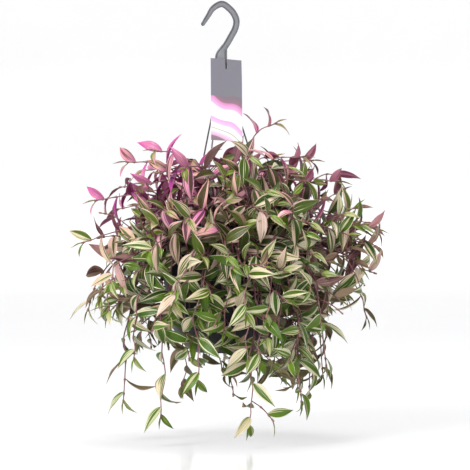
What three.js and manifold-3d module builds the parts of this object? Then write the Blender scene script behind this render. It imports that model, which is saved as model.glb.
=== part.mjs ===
// A hanging pot of variegated tradescantia: a plastic hook with three rods, a card tag, a bowl-shaped
// pot, soil, and leafy stems that rise from the soil, arch over the lip and trail.
// Millimetres, +Z up. The origin is where a rail bears on the inside of the hook's crown, and the
// front, with the card, faces -Y.
import * as THREE from "three";
import { mergeVertices } from "three/addons/utils/BufferGeometryUtils.js";
import Module from "manifold-3d";

const wasm = await Module();
wasm.setup();

// ---- Driving dimensions ----
const GAP = 0.3; // left between neighbours that touch

// Hook: a flat band with a groove in each face, then a flat neck and a block that holds the rods
const BAND_WIDTH = 8.3;
const BAND_DEPTH = 5;
const BAND_STEPS = 20;
const TIP_WIDTH = 5; // the band narrows to this over the first third of its length
const GROOVE_MARGIN = 1.7; // rim left on each side of the groove
const GROOVE_DEPTH = 1.1;
const HOOK_LINE = [
  // the band's middle line from its tip, over the rail and down to the neck, as [x, z]
  [-24.4, -21.4],
  [-17.5, -10.6],
  [-11.2, -1.2],
  [0, BAND_WIDTH / 2],
  [9.2, -1.6],
  [15.2, -8.7],
  [18.4, -17.5],
  [16.8, -27.1],
  [12.4, -35.7],
  [6.9, -45.4],
  [1.9, -53],
];
const NECK_DEPTH = 3;
const NECK = [
  // outline of the flat neck, as [x, z]
  [-2.4, -47],
  [-8, -60],
  [-8, -84],
  [6.6, -84],
  [5.6, -47],
];
const BLOCK = { top: -82, bottom: -91, width: 17, depth: 9 };

// Rods from the hook's block to the pot's lip, each with a barb under the lip
const ROD_RADIUS = 1.1;
const ROD_HOLE_RADIUS = 1.46;
const ROD_TURNS = [8, 128, 248]; // degrees round the pot, from +X
const ROD_TOP = { z: -85.5, spreadX: 4, spreadY: 2.7 };
const ROD_CIRCLE = 80.2; // radius of the circle of holes in the lip
const BARB = { drop: 1, length: 4.5, radius: 1.8, endRadius: 0.9 };

// Pot
const LIP_Z = -319;
const LIP_RADIUS = 86;
const LIP_THICKNESS = 2.2;
const LIP_ROUND = 0.8;
const SKIRT_DEPTH = 6;
const WALL = 1.6;
const FLOOR = 2.4;
const POT_DEPTH = 121;
const BASE_RADIUS = 38;
const POT_SIDE = [
  // outside of the wall from the lip's underside to near the base, as [radius, depth]
  [77, LIP_THICKNESS],
  [73, 45],
  [66.5, 80],
  [58, 100],
  [47.5, 114],
];
const POT_STEPS = 26;

// Soil
const SOIL_DROP = 14; // from the lip down to the soil's edge
const SOIL_HEAP = 5; // how much higher the soil lies in the middle
const SOIL_EDGE = 3; // width and depth of the worn edge along the wall
const SOIL_Z = LIP_Z - SOIL_DROP;
const ROOT_DEPTH = 20; // how deep a stem stands in the soil
const ROOT_HOLE_RADIUS = 2.8; // of the four-sided hole for a stem

// Card tag: it leans forward, and the slit in its top edge straddles the neck's right side
const CARD = { width: 41, height: 108, thickness: 0.8, x: 5.5, top: -66 };
const CARD_LEAN = 15; // degrees by which its foot stands forward
const CARD_YAW = 15; // degrees by which its left side stands forward
const CARD_ROLL = 3.5; // degrees clockwise, seen from the front
const SLIT = { width: 2.6, depth: 13 };

// Stems
const STEM_RADIUS = 1.6;
const STEM_SIDES = 3;
const STEM_STEP = 44; // longest stretch between two corners of a bare stem
const STRAIGHT = SOIL_HEAP + 3; // how far a stem rises straight before it leans
const ROOT_CIRCLES = [12, 59]; // radius of the circle on which the highest and the lowest stems root
const ROOT_ROOM = 7.5; // least distance between roots
const OVER_LIP = { radius: 98, height: 18 }; // where a trailing stem passes the lip
const RISING = [
  // a rising stem's way, as [share of the turn, share of the way out, height, share of the rise]
  [0.1, 0.08, 12, 0.25],
  [0.6, 0.45, 26, 0.72],
];
const SWING = 5; // degrees by which a stem is swung aside, at a time
const SWING_LIFT = 2; // how much higher each swing takes it
const REROOT = 4; // degrees by which a root is moved round its circle, at a time

// Leaves
const LEAF_LENGTH = 44;
const LEAF_WIDTH = 14.5;
const LEAF_THICKNESS = 1.3; // along the midrib; the blade thins towards its edges
const LEAF_FOLD = 0.3; // rise of the edges over the midrib, as a share of the half width
const LEAF_SUNK = 2; // how far back along the stem a blade starts, inside it
const LEAF_STATIONS = [0, 0.14, 0.42, 0.74, 1]; // where the faceted blade has its corners
const LEAF_SPOTS = [
  // from the stem's end back: distance, length against a full-grown leaf, and degrees off the stem
  { back: 0, size: 0.42, open: 6 },
  { back: 3, size: 0.62, open: 36 },
  { back: 12, size: 0.86, open: 52 },
  { back: 30, size: 1, open: 64 },
  { back: 54, size: 1.04, open: 64 },
  { back: 80, size: 1, open: 64 },
  { back: 107, size: 0.98, open: 64 },
];
const BARE_BASE = 62; // no leaf grows on this length of a stem above the soil
const LEAF_TURN = 150; // degrees round the stem from one leaf to the next
const LEAF_BEND = [26, 60]; // degrees by which a blade arches over its length
const YOUNGEST = { width: 0.5, bend: 8 }; // the rolled leaf at the stem's end
const VARIES = { size: 0.16, open: 14, turn: 40 }; // spread of the draws
const LIGHT = { out: 0.62, up: 0.78 }; // leaves turn their faces outwards and up
const LEAF_SAG = 0.12;
const DODGE = { turn: 22, close: 3 }; // degrees by which a leaf is moved aside, at a time
const LEAF_SAMPLES = [0.18, 0.34, 0.5, 0.66, 0.82, 0.98]; // where a blade is tested for room
const LEAF_ROOM = 0.9;

// How far from the pot's axis the stems' ends reach at each height, as [z, radius]
const REACH = [
  [-140, 66],
  [-185, 112],
  [-220, 150],
  [-260, 174],
  [-300, 186],
  [-345, 178],
  [-390, 172],
  [-440, 152],
  [-530, 126],
];
// Ends of the stems on the front half, as [x, z]
const FRONT_ENDS = [
  [70, -147],
  [-86, -182],
  [36, -189],
  [104, -190],
  [-122, -197],
  [-47, -204],
  [150, -222],
  [-162, -246],
  [61, -262],
  [-41, -266],
  [110, -272],
  [200, -284],
  [-177, -299],
  [-92, -306],
  [8, -312],
  [178, -334],
  [-140, -348],
  [-60, -372],
  [30, -384],
  [-172, -388],
  [186, -398],
  [-110, -444],
  [47, -447],
  [132, -456],
  [-30, -470],
  [100, -500],
  [-125, -502],
  [-76, -516],
  [33, -527],
];
// Stems on the back half, spread over its turn and height by the golden ratio
const BACK_STEMS = 15;
const BACK_TURNS = [12, 168]; // degrees
const BACK_HEIGHTS = [-185, -510];
const BACK_REACH = 0.97;
const GOLDEN = 0.6180339887498949;
const SEED = 2024;

// ---- Small helpers ----
const radians = (degrees) => (degrees * Math.PI) / 180;
const vector = (x, y, z) => new THREE.Vector3(x, y, z);
const mix = ([low, high], share) => low + (high - low) * share;

// A place given by its turn round the pot's axis, its radius and its height.
const around = (turn, radius, z) => vector(radius * Math.cos(turn), radius * Math.sin(turn), z);

// The value at x on straight lines between [x, value] steps of rising x.
function between(steps, x) {
  let k = 1;
  while (k < steps.length - 1 && x > steps[k][0]) k++;
  const share = (x - steps[k - 1][0]) / (steps[k][0] - steps[k - 1][0]);
  return mix([steps[k - 1][1], steps[k][1]], Math.min(1, Math.max(0, share)));
}

// 0, +1, -1, +2, -2 and so on: how far each try moves something from its first place.
const tries = (count) => Array.from({ length: count }, (_, k) => (k % 2 ? (k + 1) / 2 : -k / 2));

// A repeatable draw between 0 and 1.
function makeDraw(seed) {
  let state = seed;
  return () => {
    state = (state * 16807) % 2147483647;
    return state / 2147483647;
  };
}

// A closed three.js geometry as a solid: only positions stay, and collapsed faces go.
function solidOf(geometry) {
  const bare = geometry.index ? geometry.toNonIndexed() : geometry.clone();
  bare.deleteAttribute("normal");
  bare.deleteAttribute("uv");
  const merged = mergeVertices(bare, 1e-4);
  const triangles = [];
  for (let i = 0; i < merged.index.count; i += 3) {
    const [a, b, c] = [0, 1, 2].map((k) => merged.index.getX(i + k));
    if (a !== b && b !== c && c !== a) triangles.push(a, b, c);
  }
  const vertProperties = merged.attributes.position.array;
  const triVerts = new Uint32Array(triangles);
  return new wasm.Manifold(new wasm.Mesh({ numProp: 3, vertProperties, triVerts }));
}

// A solid as a three.js geometry.
function geometryOf(solid) {
  const { numProp, numVert, vertProperties, triVerts } = solid.getMesh();
  const places = new Float32Array(numVert * 3);
  for (let i = 0; i < numVert; i++) {
    places.set(vertProperties.subarray(i * numProp, i * numProp + 3), i * 3);
  }
  const geometry = new THREE.BufferGeometry();
  geometry.setAttribute("position", new THREE.BufferAttribute(places, 3));
  geometry.setIndex(new THREE.BufferAttribute(triVerts, 1));
  geometry.computeVertexNormals();
  return geometry;
}

// An outline of [x, z] points made depth thick about the plane y = middle.
function plate(outline, depth, middle = 0) {
  const shape = new THREE.Shape(outline.map(([x, z]) => new THREE.Vector2(x, z)));
  const geometry = new THREE.ExtrudeGeometry(shape, { depth, bevelEnabled: false });
  return geometry.rotateX(Math.PI / 2).translate(0, middle + depth / 2, 0);
}

// A straight bar between two points, which may taper.
function bar(from, to, radius, sides, endRadius = radius) {
  const along = to.clone().sub(from);
  const geometry = new THREE.CylinderGeometry(endRadius, radius, along.length(), sides);
  const turn = new THREE.Quaternion().setFromUnitVectors(vector(0, 1, 0), along.normalize());
  const middle = from.clone().lerp(to, 0.5);
  return geometry.applyQuaternion(turn).translate(middle.x, middle.y, middle.z);
}

// A profile of [radius, height over the lip] points turned about the pot's axis.
function turned(profile, steps) {
  const points = profile.map(([radius, height]) => new THREE.Vector2(radius, height));
  return new THREE.LatheGeometry(points, steps).rotateX(Math.PI / 2).translate(0, 0, LIP_Z);
}

// ---- Materials ----
const surface = (color, roughness) => new THREE.MeshStandardMaterial({ color, roughness });
const MATERIALS = {
  hanger: surface(0x777b82, 0.45),
  pot: surface(0x34363d, 0.45),
  soil: surface(0x2c2019, 1),
  card: surface(0x8c8a93, 0.6),
  foliage: surface(0x5d7d45, 0.5),
};

// ---- Hook ----
// The band's outline, moved inwards by inset.
function bandOutline(inset) {
  const line = new THREE.CatmullRomCurve3(HOOK_LINE.map(([x, z]) => vector(x, 0, z)));
  const left = [];
  const right = [];
  for (let i = 0; i <= BAND_STEPS; i++) {
    const share = i / BAND_STEPS;
    const along = line.getTangentAt(share);
    const place = line.getPointAt(share);
    const half = mix([TIP_WIDTH, BAND_WIDTH], Math.min(1, share * 3)) / 2 - inset;
    left.push([place.x - along.z * half, place.z + along.x * half]);
    right.unshift([place.x + along.z * half, place.z - along.x * half]);
    if (i === 0) right.push([place.x - along.x * half, place.z - along.z * half]);
  }
  return [...left, ...right];
}

function makeHook(rods) {
  let hook = solidOf(plate(bandOutline(0), BAND_DEPTH));
  for (const side of [-1, 1]) {
    const groove = plate(bandOutline(GROOVE_MARGIN), 2 * GROOVE_DEPTH, (side * BAND_DEPTH) / 2);
    hook = hook.subtract(solidOf(groove));
  }
  const block = new THREE.BoxGeometry(BLOCK.width, BLOCK.depth, BLOCK.top - BLOCK.bottom);
  block.translate(0, 0, (BLOCK.top + BLOCK.bottom) / 2);
  hook = hook.add(solidOf(plate(NECK, NECK_DEPTH))).add(solidOf(block));
  for (const { from, to, along } of rods) {
    const socket = bar(to, from.clone().addScaledVector(along, -GAP), ROD_HOLE_RADIUS, 8);
    hook = hook.subtract(solidOf(socket));
  }
  return geometryOf(hook);
}

// ---- Rods ----
// Each rod's ends, its direction, and where it passes the lip's top.
function placeRods() {
  return ROD_TURNS.map((degrees) => {
    const turn = radians(degrees);
    const from = vector(ROD_TOP.spreadX * Math.cos(turn), ROD_TOP.spreadY * Math.sin(turn), ROD_TOP.z);
    const through = around(turn, ROD_CIRCLE, LIP_Z);
    const along = through.clone().sub(from).normalize();
    const to = through.clone().addScaledVector(along, LIP_THICKNESS + BARB.drop);
    return { from, to, along, through };
  });
}

function makeRod({ from, to, along }) {
  const inBarb = to.clone().addScaledVector(along, BARB.length / 2);
  const end = to.clone().addScaledVector(along, BARB.length);
  const rod = solidOf(bar(from, inBarb, ROD_RADIUS, 6));
  return geometryOf(rod.add(solidOf(bar(to, end, BARB.radius, 6, BARB.endRadius))));
}

// ---- Pot and soil ----
function makePot(rods) {
  const outside = POT_SIDE.map(([radius, depth]) => [radius, -depth]);
  const inside = outside.slice(1).map(([radius, height]) => [radius - WALL, height + WALL / 2]);
  const profile = [
    [0, -POT_DEPTH],
    [BASE_RADIUS, -POT_DEPTH],
    ...outside.reverse(),
    [LIP_RADIUS - WALL, -LIP_THICKNESS],
    [LIP_RADIUS - WALL, -SKIRT_DEPTH],
    [LIP_RADIUS, -SKIRT_DEPTH],
    [LIP_RADIUS, -LIP_ROUND],
    [LIP_RADIUS - LIP_ROUND, 0],
    [POT_SIDE[0][0] - WALL, 0],
    ...inside,
    [BASE_RADIUS - WALL, FLOOR - POT_DEPTH],
    [0, FLOOR - POT_DEPTH],
  ];
  let pot = solidOf(turned(profile, POT_STEPS));
  for (const { through, along } of rods) {
    const above = through.clone().addScaledVector(along, -2 * LIP_THICKNESS);
    const below = through.clone().addScaledVector(along, 2 * LIP_THICKNESS);
    pot = pot.subtract(solidOf(bar(above, below, ROD_HOLE_RADIUS, 8)));
  }
  return geometryOf(pot);
}

// Radius of the pot's outside at a height; beside the lip, the lip's own.
function potRadius(z) {
  const depth = LIP_Z - z;
  if (depth < SKIRT_DEPTH) return LIP_RADIUS;
  const side = POT_SIDE.map(([radius, below]) => [below, radius]);
  return between([...side, [POT_DEPTH, BASE_RADIUS]], depth);
}

function makeSoil(roots) {
  const inwards = WALL + 2 * GAP;
  const lower = POT_SIDE.filter(([, depth]) => depth > SOIL_DROP).reverse();
  const edge = potRadius(SOIL_Z) - inwards;
  const profile = [
    [0, 2 * FLOOR - POT_DEPTH],
    [BASE_RADIUS - inwards, 2 * FLOOR - POT_DEPTH],
    ...lower.map(([radius, depth]) => [radius - inwards, FLOOR - depth]),
    [edge, -SOIL_DROP - SOIL_EDGE],
    [edge - SOIL_EDGE, -SOIL_DROP],
    [edge / 2, -SOIL_DROP + 0.7 * SOIL_HEAP],
    [0, -SOIL_DROP + SOIL_HEAP],
  ];
  let soil = solidOf(turned(profile, POT_STEPS / 2));
  for (const root of roots) {
    const bottom = root.clone().setZ(root.z - ROOT_DEPTH - GAP);
    const top = root.clone().setZ(root.z + 2 * SOIL_HEAP);
    soil = soil.subtract(solidOf(bar(bottom, top, ROOT_HOLE_RADIUS, 4)));
  }
  return geometryOf(soil);
}

// ---- Card tag ----
// From the card's own axes, x across and z up from the middle of its top edge, to the plant's. The
// slit's left side then lies before the neck.
const CARD_PLACE = new THREE.Matrix4()
  .makeTranslation(CARD.x, -NECK_DEPTH / 2 - GAP - CARD.thickness, CARD.top)
  .multiply(new THREE.Matrix4().makeRotationZ(radians(CARD_YAW)))
  .multiply(new THREE.Matrix4().makeRotationX(radians(-CARD_LEAN)))
  .multiply(new THREE.Matrix4().makeRotationY(radians(CARD_ROLL)));

function makeCard() {
  const { width, height, thickness } = CARD;
  const card = solidOf(new THREE.BoxGeometry(width, thickness, height).translate(0, 0, -height / 2));
  const slit = solidOf(new THREE.BoxGeometry(SLIT.width, 4 * thickness, 2 * SLIT.depth));
  return geometryOf(card.subtract(slit)).applyMatrix4(CARD_PLACE);
}

// ---- Room to grow ----
// What stands is kept as balls, each with its owner, so that what grows next is bent clear of it.
const balls = [];

function stand(owner, centre, radius) {
  balls.push({ owner, centre, radius });
}

function isFree(owner, centre, radius) {
  return balls.every((ball) => {
    if (ball.owner === owner) return true;
    return ball.centre.distanceToSquared(centre) > (ball.radius + radius) ** 2;
  });
}

function standHanger(rods) {
  const steps = 60;
  for (const { from, to } of rods) {
    for (let i = 0; i <= steps; i++) stand("hanger", from.clone().lerp(to, i / steps), 2.1);
  }
  const cell = 8;
  for (let x = -CARD.width / 2; x <= CARD.width / 2; x += cell) {
    for (let z = 0; z > -CARD.height - cell; z -= cell) {
      stand("hanger", vector(x, 0, z).applyMatrix4(CARD_PLACE), 0.8 * cell);
    }
  }
}

// Whether a ball is clear of the pot's outside, and above the lip when it is over the pot.
function isOffPot(centre, radius) {
  const room = radius + 1;
  if (centre.z > LIP_Z + room || centre.z < LIP_Z - POT_DEPTH - room) return true;
  return Math.hypot(centre.x, centre.y) > potRadius(centre.z) + room;
}

// A stem may also rise inside the pot, clear of its wall.
function isStemOffPot(centre) {
  const room = STEM_RADIUS + 1;
  const inside = Math.hypot(centre.x, centre.y) < potRadius(SOIL_Z) - WALL - 3 * room;
  return (inside && centre.z > SOIL_Z - GAP) || isOffPot(centre, room);
}

// ---- How a stem grows ----
// A place for a root: near the middle for the highest stems, near the wall for the lowest.
function rootPlace(end, moved) {
  const fall = (REACH[0][0] - end.z) / (REACH[0][0] - REACH[REACH.length - 1][0]);
  const turn = Math.atan2(end.y, end.x) + radians(REROOT * moved);
  return around(turn, mix(ROOT_CIRCLES, fall), SOIL_Z);
}

// The stem's line from its root to its end. A rising stem goes straight out, and a trailing one goes
// up and over the lip first.
function stemLine(root, end, swing) {
  const rootTurn = Math.atan2(root.y, root.x);
  const turn = Math.atan2(end.y, end.x) - rootTurn;
  const sweep = Math.atan2(Math.sin(turn), Math.cos(turn));
  const rootRadius = Math.hypot(root.x, root.y);
  const reach = Math.hypot(end.x, end.y);
  const rise = end.z - LIP_Z;
  const { radius, height } = OVER_LIP;
  const rising = RISING.map(([share, out, start, up]) => {
    return [share, mix([rootRadius, reach], out), start + up * rise];
  });
  const trailing = [
    [0.15, rootRadius + 3, height / 2],
    [0.6, radius, height],
    [0.85, mix([radius, reach], 0.72), mix([height, rise], 0.42)],
  ];
  const middle = (rise > 0 ? rising : trailing).map(([share, out, up]) => {
    const aside = radians(SWING * swing * Math.sin(Math.PI * share));
    return around(rootTurn + sweep * share + aside, out, LIP_Z + up + SWING_LIFT * Math.abs(swing));
  });
  const surface = root.clone().setZ(SOIL_Z + STRAIGHT);
  return new THREE.CatmullRomCurve3([root, surface, ...middle, end], false, "catmullrom");
}

// Points along a line at even steps of its parameter, with their distances from its start.
function measure(line) {
  const steps = 80;
  const points = [line.getPoint(0)];
  const lengths = [0];
  for (let i = 1; i <= steps; i++) {
    points.push(line.getPoint(i / steps));
    lengths.push(lengths[i - 1] + points[i].distanceTo(points[i - 1]));
  }
  return { points, lengths, length: lengths[steps] };
}

// The point at a distance from the start of a measured line.
function pointAt({ points, lengths }, distance) {
  let k = 1;
  while (k < points.length - 1 && lengths[k] < distance) k++;
  const share = (distance - lengths[k - 1]) / (lengths[k] - lengths[k - 1]);
  return points[k - 1].clone().lerp(points[k], share);
}

// The first root and line to this end that are clear of the pot, the hanger and earlier stems.
function findWay(name, end, roots) {
  for (const moved of tries(90)) {
    const root = rootPlace(end, moved);
    if (roots.some((other) => other.distanceTo(root) < ROOT_ROOM)) continue;
    for (const swing of tries(11)) {
      const way = measure(stemLine(root, end, swing));
      const free = way.points.every((p) => isStemOffPot(p) && isFree(name, p, STEM_RADIUS + 0.8));
      if (free) return { root, way };
    }
  }
  throw new Error(`no way for ${name}`);
}

// A stem, bent at each leaf and at even steps below the lowest leaf.
function growStem(name, end, roots) {
  const { root, way } = findWay(name, end, roots);
  roots.push(root);
  way.points.forEach((p) => stand(name, p, STEM_RADIUS + 0.5));
  const spots = LEAF_SPOTS.filter(({ back }) => back < way.length - BARE_BASE);
  const nodes = spots.map(({ back }) => pointAt(way, way.length - back));
  const lowest = way.length - spots[spots.length - 1].back;
  const bare = Math.ceil((lowest - STRAIGHT) / STEM_STEP);
  const corners = [root.clone().setZ(root.z - ROOT_DEPTH)];
  for (let i = 0; i < bare; i++) corners.push(pointAt(way, mix([STRAIGHT, lowest], i / bare)));
  corners.push(...nodes.slice().reverse());
  return { name, way, nodes, corners, leaves: [] };
}

// A leaf's midrib at a share of its length: the place there, and the way its upper face looks.
function midrib({ base, along, above, bend, length }, share) {
  const bent = bend * share;
  const ahead = (Math.sin(bent) / bend) * length;
  const down = ((1 - Math.cos(bent)) / bend) * length;
  const place = base.clone().addScaledVector(along, ahead).addScaledVector(above, -down);
  const face = above.clone().multiplyScalar(Math.cos(bent)).addScaledVector(along, Math.sin(bent));
  return { place, face };
}

// Half the blade's width at a share of its length: round near the base, drawn out to a point.
const halfWidth = ({ width }, share) => (Math.sin(Math.PI * share ** 0.75) * width) / 2;

function hasRoom(owner, leaf) {
  return LEAF_SAMPLES.every((share) => {
    const { place } = midrib(leaf, share);
    const radius = halfWidth(leaf, share) + LEAF_ROOM;
    return isOffPot(place, radius) && isFree(owner, place, radius);
  });
}

// Grows the stem's leaf of this order, counted from its end, in the first position that has room.
function growLeaf({ name, way, nodes, leaves }, order, draw) {
  const node = nodes[order];
  if (!node) return;
  const spot = LEAF_SPOTS[order];
  const youngest = order === 0;
  const tangent = node.clone().sub(pointAt(way, way.length - spot.back - 6)).normalize();
  const out = vector(node.x, node.y, 0).normalize();
  const light = out.multiplyScalar(LIGHT.out).setZ(LIGHT.up);
  const aside = tangent.clone().cross(light).normalize();
  const towards = aside.clone().cross(tangent);
  const size = spot.size * (1 + VARIES.size * (draw() - 0.5));
  const turn = 90 + LEAF_TURN * order + VARIES.turn * (draw() - 0.5);
  const open = spot.open + (order > 2 ? VARIES.open * (draw() - 0.5) : 0);
  const bend = radians(youngest ? YOUNGEST.bend : mix(LEAF_BEND, draw()));
  const length = LEAF_LENGTH * size;
  const width = LEAF_WIDTH * size * (youngest ? YOUNGEST.width : 1);
  const base = node.clone().addScaledVector(tangent, -LEAF_SUNK);
  for (const moved of tries(13)) {
    const angle = radians(turn + DODGE.turn * moved);
    const spread = radians(open - DODGE.close * Math.abs(moved));
    const side = towards.clone().multiplyScalar(Math.cos(angle)).addScaledVector(aside, Math.sin(angle));
    const along = tangent.clone().multiplyScalar(Math.cos(spread)).addScaledVector(side, Math.sin(spread));
    along.setZ(along.z - LEAF_SAG).normalize();
    const above = tangent.clone().multiplyScalar(0.55).addScaledVector(light, 0.75);
    above.addScaledVector(along, -above.dot(along)).normalize();
    const leaf = { base, along, above, bend, length, width };
    if (hasRoom(name, leaf)) {
      leaves.push(leaf);
      LEAF_SAMPLES.forEach((share) => stand(name, midrib(leaf, share).place, halfWidth(leaf, share)));
      return;
    }
  }
}

// ---- Solids of stems and leaves ----
// Straight stretches between the stem's corners, each of which is met at an even step.
class StemPath extends THREE.Curve {
  constructor(corners) {
    super();
    this.corners = corners;
  }
  getPoint(share) {
    const last = this.corners.length - 1;
    const k = Math.min(Math.floor(share * last), last - 1);
    return this.corners[k].clone().lerp(this.corners[k + 1], share * last - k);
  }
  getPointAt(share) {
    return this.getPoint(share);
  }
  getTangentAt(share) {
    return this.getTangent(share);
  }
}

function stemSolid(corners) {
  const section = new THREE.Shape();
  for (let k = 0; k < STEM_SIDES; k++) {
    const angle = (2 * Math.PI * k) / STEM_SIDES;
    const corner = [STEM_RADIUS * Math.cos(angle), STEM_RADIUS * Math.sin(angle)];
    if (k === 0) section.moveTo(...corner);
    else section.lineTo(...corner);
  }
  const extrudePath = new StemPath(corners);
  return solidOf(new THREE.ExtrudeGeometry(section, { steps: corners.length - 1, extrudePath }));
}

// A blade is a sphere of few steps with its poles at the leaf's base and tip. Each ring has a corner
// at either edge and one on either face of the midrib.
function leafSolid(leaf) {
  const last = LEAF_STATIONS.length - 1;
  const blade = new THREE.SphereGeometry(1, 4, last);
  const corners = blade.attributes.position;
  for (let i = 0; i < corners.count; i++) {
    const station = Math.round((Math.acos(corners.getY(i)) / Math.PI) * last);
    const share = LEAF_STATIONS[station];
    const pole = station === 0 || station === last;
    const side = pole ? 0 : Math.round(corners.getX(i) / Math.hypot(corners.getX(i), corners.getZ(i)));
    const rise = pole ? 0 : Math.round(corners.getZ(i) / Math.hypot(corners.getX(i), corners.getZ(i)));
    const { place, face } = midrib(leaf, share);
    const across = face.clone().cross(leaf.along).normalize();
    const half = halfWidth(leaf, share);
    place.addScaledVector(across, side * half);
    place.addScaledVector(face, Math.abs(side) * LEAF_FOLD * half + (rise * LEAF_THICKNESS) / 2);
    corners.setXYZ(i, place.x, place.y, place.z);
  }
  return solidOf(blade);
}

function makeStem({ corners, leaves }) {
  return geometryOf(wasm.Manifold.union([stemSolid(corners), ...leaves.map(leafSolid)]));
}

// ---- The whole plant ----
const RISING_REACH = REACH.slice().reverse();

function frontEnd([x, z]) {
  const reach = between(RISING_REACH, z);
  return vector(x, -Math.sqrt(Math.max(0, reach * reach - x * x)), z);
}

function backEnd(i) {
  const turn = radians(mix(BACK_TURNS, (i * GOLDEN) % 1));
  const z = mix(BACK_HEIGHTS, (i + 0.5) / BACK_STEMS);
  return around(turn, BACK_REACH * between(RISING_REACH, z), z);
}

const rods = placeRods();
standHanger(rods);
const ends = FRONT_ENDS.map(frontEnd);
for (let i = 0; i < BACK_STEMS; i++) ends.push(backEnd(i));
const roots = [];
const stems = ends.map((end, i) => growStem(`leafy_stem_${String(i + 1).padStart(2, "0")}`, end, roots));
const draw = makeDraw(SEED);
LEAF_SPOTS.forEach((_, order) => stems.forEach((stem) => growLeaf(stem, order, draw)));

const plant = new THREE.Group();

function add(name, geometry, material) {
  const mesh = new THREE.Mesh(geometry, material.clone());
  mesh.name = name;
  plant.add(mesh);
}

add("hook", makeHook(rods), MATERIALS.hanger);
rods.forEach((rod, i) => add(`hanger_rod_${i + 1}`, makeRod(rod), MATERIALS.hanger));
add("pot", makePot(rods), MATERIALS.pot);
add("soil", makeSoil(roots), MATERIALS.soil);
add("card_tag", makeCard(), MATERIALS.card);
for (const stem of stems) add(stem.name, makeStem(stem), MATERIALS.foliage);

export default plant;
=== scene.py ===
"""Looks of a hanging pot of variegated tradescantia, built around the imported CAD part.

Sizes are in millimetres, as in the part's own source, and turn to metres when a mesh is made. Only the
lamps, the camera and lengths inside the materials are in metres. The stems and their full-grown leaves
follow the same rule and the same draws as the solids that they replace. More leaves, side shoots and
inner stems then fill the plant, and every stem is made to waver a little.
"""
import math
from types import SimpleNamespace

import bmesh
import bpy
import numpy as np
from mathutils import Matrix, Vector, noise


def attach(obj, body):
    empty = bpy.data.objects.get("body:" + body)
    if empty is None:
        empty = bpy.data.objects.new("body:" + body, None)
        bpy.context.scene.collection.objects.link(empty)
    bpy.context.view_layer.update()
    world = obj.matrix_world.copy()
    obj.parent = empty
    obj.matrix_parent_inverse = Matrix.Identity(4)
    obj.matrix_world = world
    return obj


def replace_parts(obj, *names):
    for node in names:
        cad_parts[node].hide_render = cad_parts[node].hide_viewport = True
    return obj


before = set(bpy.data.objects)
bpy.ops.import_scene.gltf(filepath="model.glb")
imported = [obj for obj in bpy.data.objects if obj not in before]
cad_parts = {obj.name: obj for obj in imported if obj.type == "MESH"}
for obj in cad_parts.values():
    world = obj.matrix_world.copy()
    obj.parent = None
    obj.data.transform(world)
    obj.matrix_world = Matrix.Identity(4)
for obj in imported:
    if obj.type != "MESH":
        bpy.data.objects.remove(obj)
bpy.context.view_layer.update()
MM = 0.001

# ---- Hanger ----
BAND_WIDTH = 8.3
BAND_DEPTH = 5
TIP_WIDTH = 5
TIP_END = 0.12  # scale of the band's section at its very tip
WIDENING = 3  # the band has its full width from a third of its length on
BAND_STEPS = 90
TIP_STEPS = 6
HOOK_LINE = [
    # the band's middle line from its tip, over the rail and down to the neck, as (x, z)
    (-24.4, -21.4), (-17.5, -10.6), (-11.2, -1.2), (0, BAND_WIDTH / 2), (9.2, -1.6), (15.2, -8.7),
    (18.4, -17.5), (16.8, -27.1), (12.4, -35.7), (6.9, -45.4), (1.9, -53),
]
RIM = 1.7  # width of the raised rim on each side of the band's web
RIM_SHARE = 0.28  # the most of the band's width that a rim takes
RIM_ROUNDING = 0.75
GROOVE_DEPTH = 1.1
RIM_SLOPE = [(0.25, 0), (-0.05, 0.25), (-0.3, GROOVE_DEPTH)]  # a rim's inner side, as (across, down)
WEB_INSET = (1, 0.4)  # how far inside the section's side and face its web starts
NECK_DEPTH = 3
NECK = [(0.5, -48), (-8, -60), (-8, -84), (6.6, -84), (6.6, -48)]
NECK_WEB = {"share": 0.6, "rounding": 0.4}
NECK_RIMS = [
    [(1.5, -48.5), (-2.2, -53), (-6.8, -60.5), (-6.8, -84)],
    [(6.6, -48.5), (4.7, -54), (5.4, -84)],
]
BLOCK = {"top": -82, "bottom": -91, "width": 17, "depth": 9, "rounding": 1.3}
ROD_RADIUS = 1.0
ROD_TURNS = [8, 128, 248]
ROD_TOP = {"z": -85.5, "spread_x": 4, "spread_y": 2.7}
ROD_CIRCLE = 80.2
ROD_STEPS = 12
# Round shapes on a rod, as (distance along it, radius): the block's socket from the rod's top, the
# collar from the lip's top and the barb from a little below the lip.
SOCKET = [(2, 2.3), (5.5, 2.2), (9.2, 1.9), (9.6, 1.5)]
COLLAR = [(-2.9, ROD_RADIUS), (-2.7, 1.9), (-2.5, 2.2), (-1.2, 2.2), (-1, 2), (-0.9, ROD_RADIUS)]
BARB = [(0, ROD_RADIUS), (0.1, 1.8), (0.8, 1.8), (4.1, 0.9), (4.5, 0.5)]
BARB_DROP = 1
BAND_SPAN = 0.2  # the band's direction is taken over this length to each side
HANGER_BALLS = {"rod": 2.1, "rod_steps": 60, "card": 6.4, "card_step": 8}  # what grows keeps clear of

# ---- How finely shapes are divided ----
SIDES = {"stem": 10, "neck_rim": 14, "rod": 18, "socket": 20, "soil": 96, "stage": 96, "pot": 144}
LINE_STEPS = {"stem": 80, "shoot": 12, "neck_rim": 24, "hook": 240}
SHARP = {"rod": 30, "pot": 35, "hanger": 40, "card": 50, "foliage": 75, "soil": 80}  # degrees
TUBE_TIP = 0.6  # how far a tube's end stands out, as a share of its radius

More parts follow.
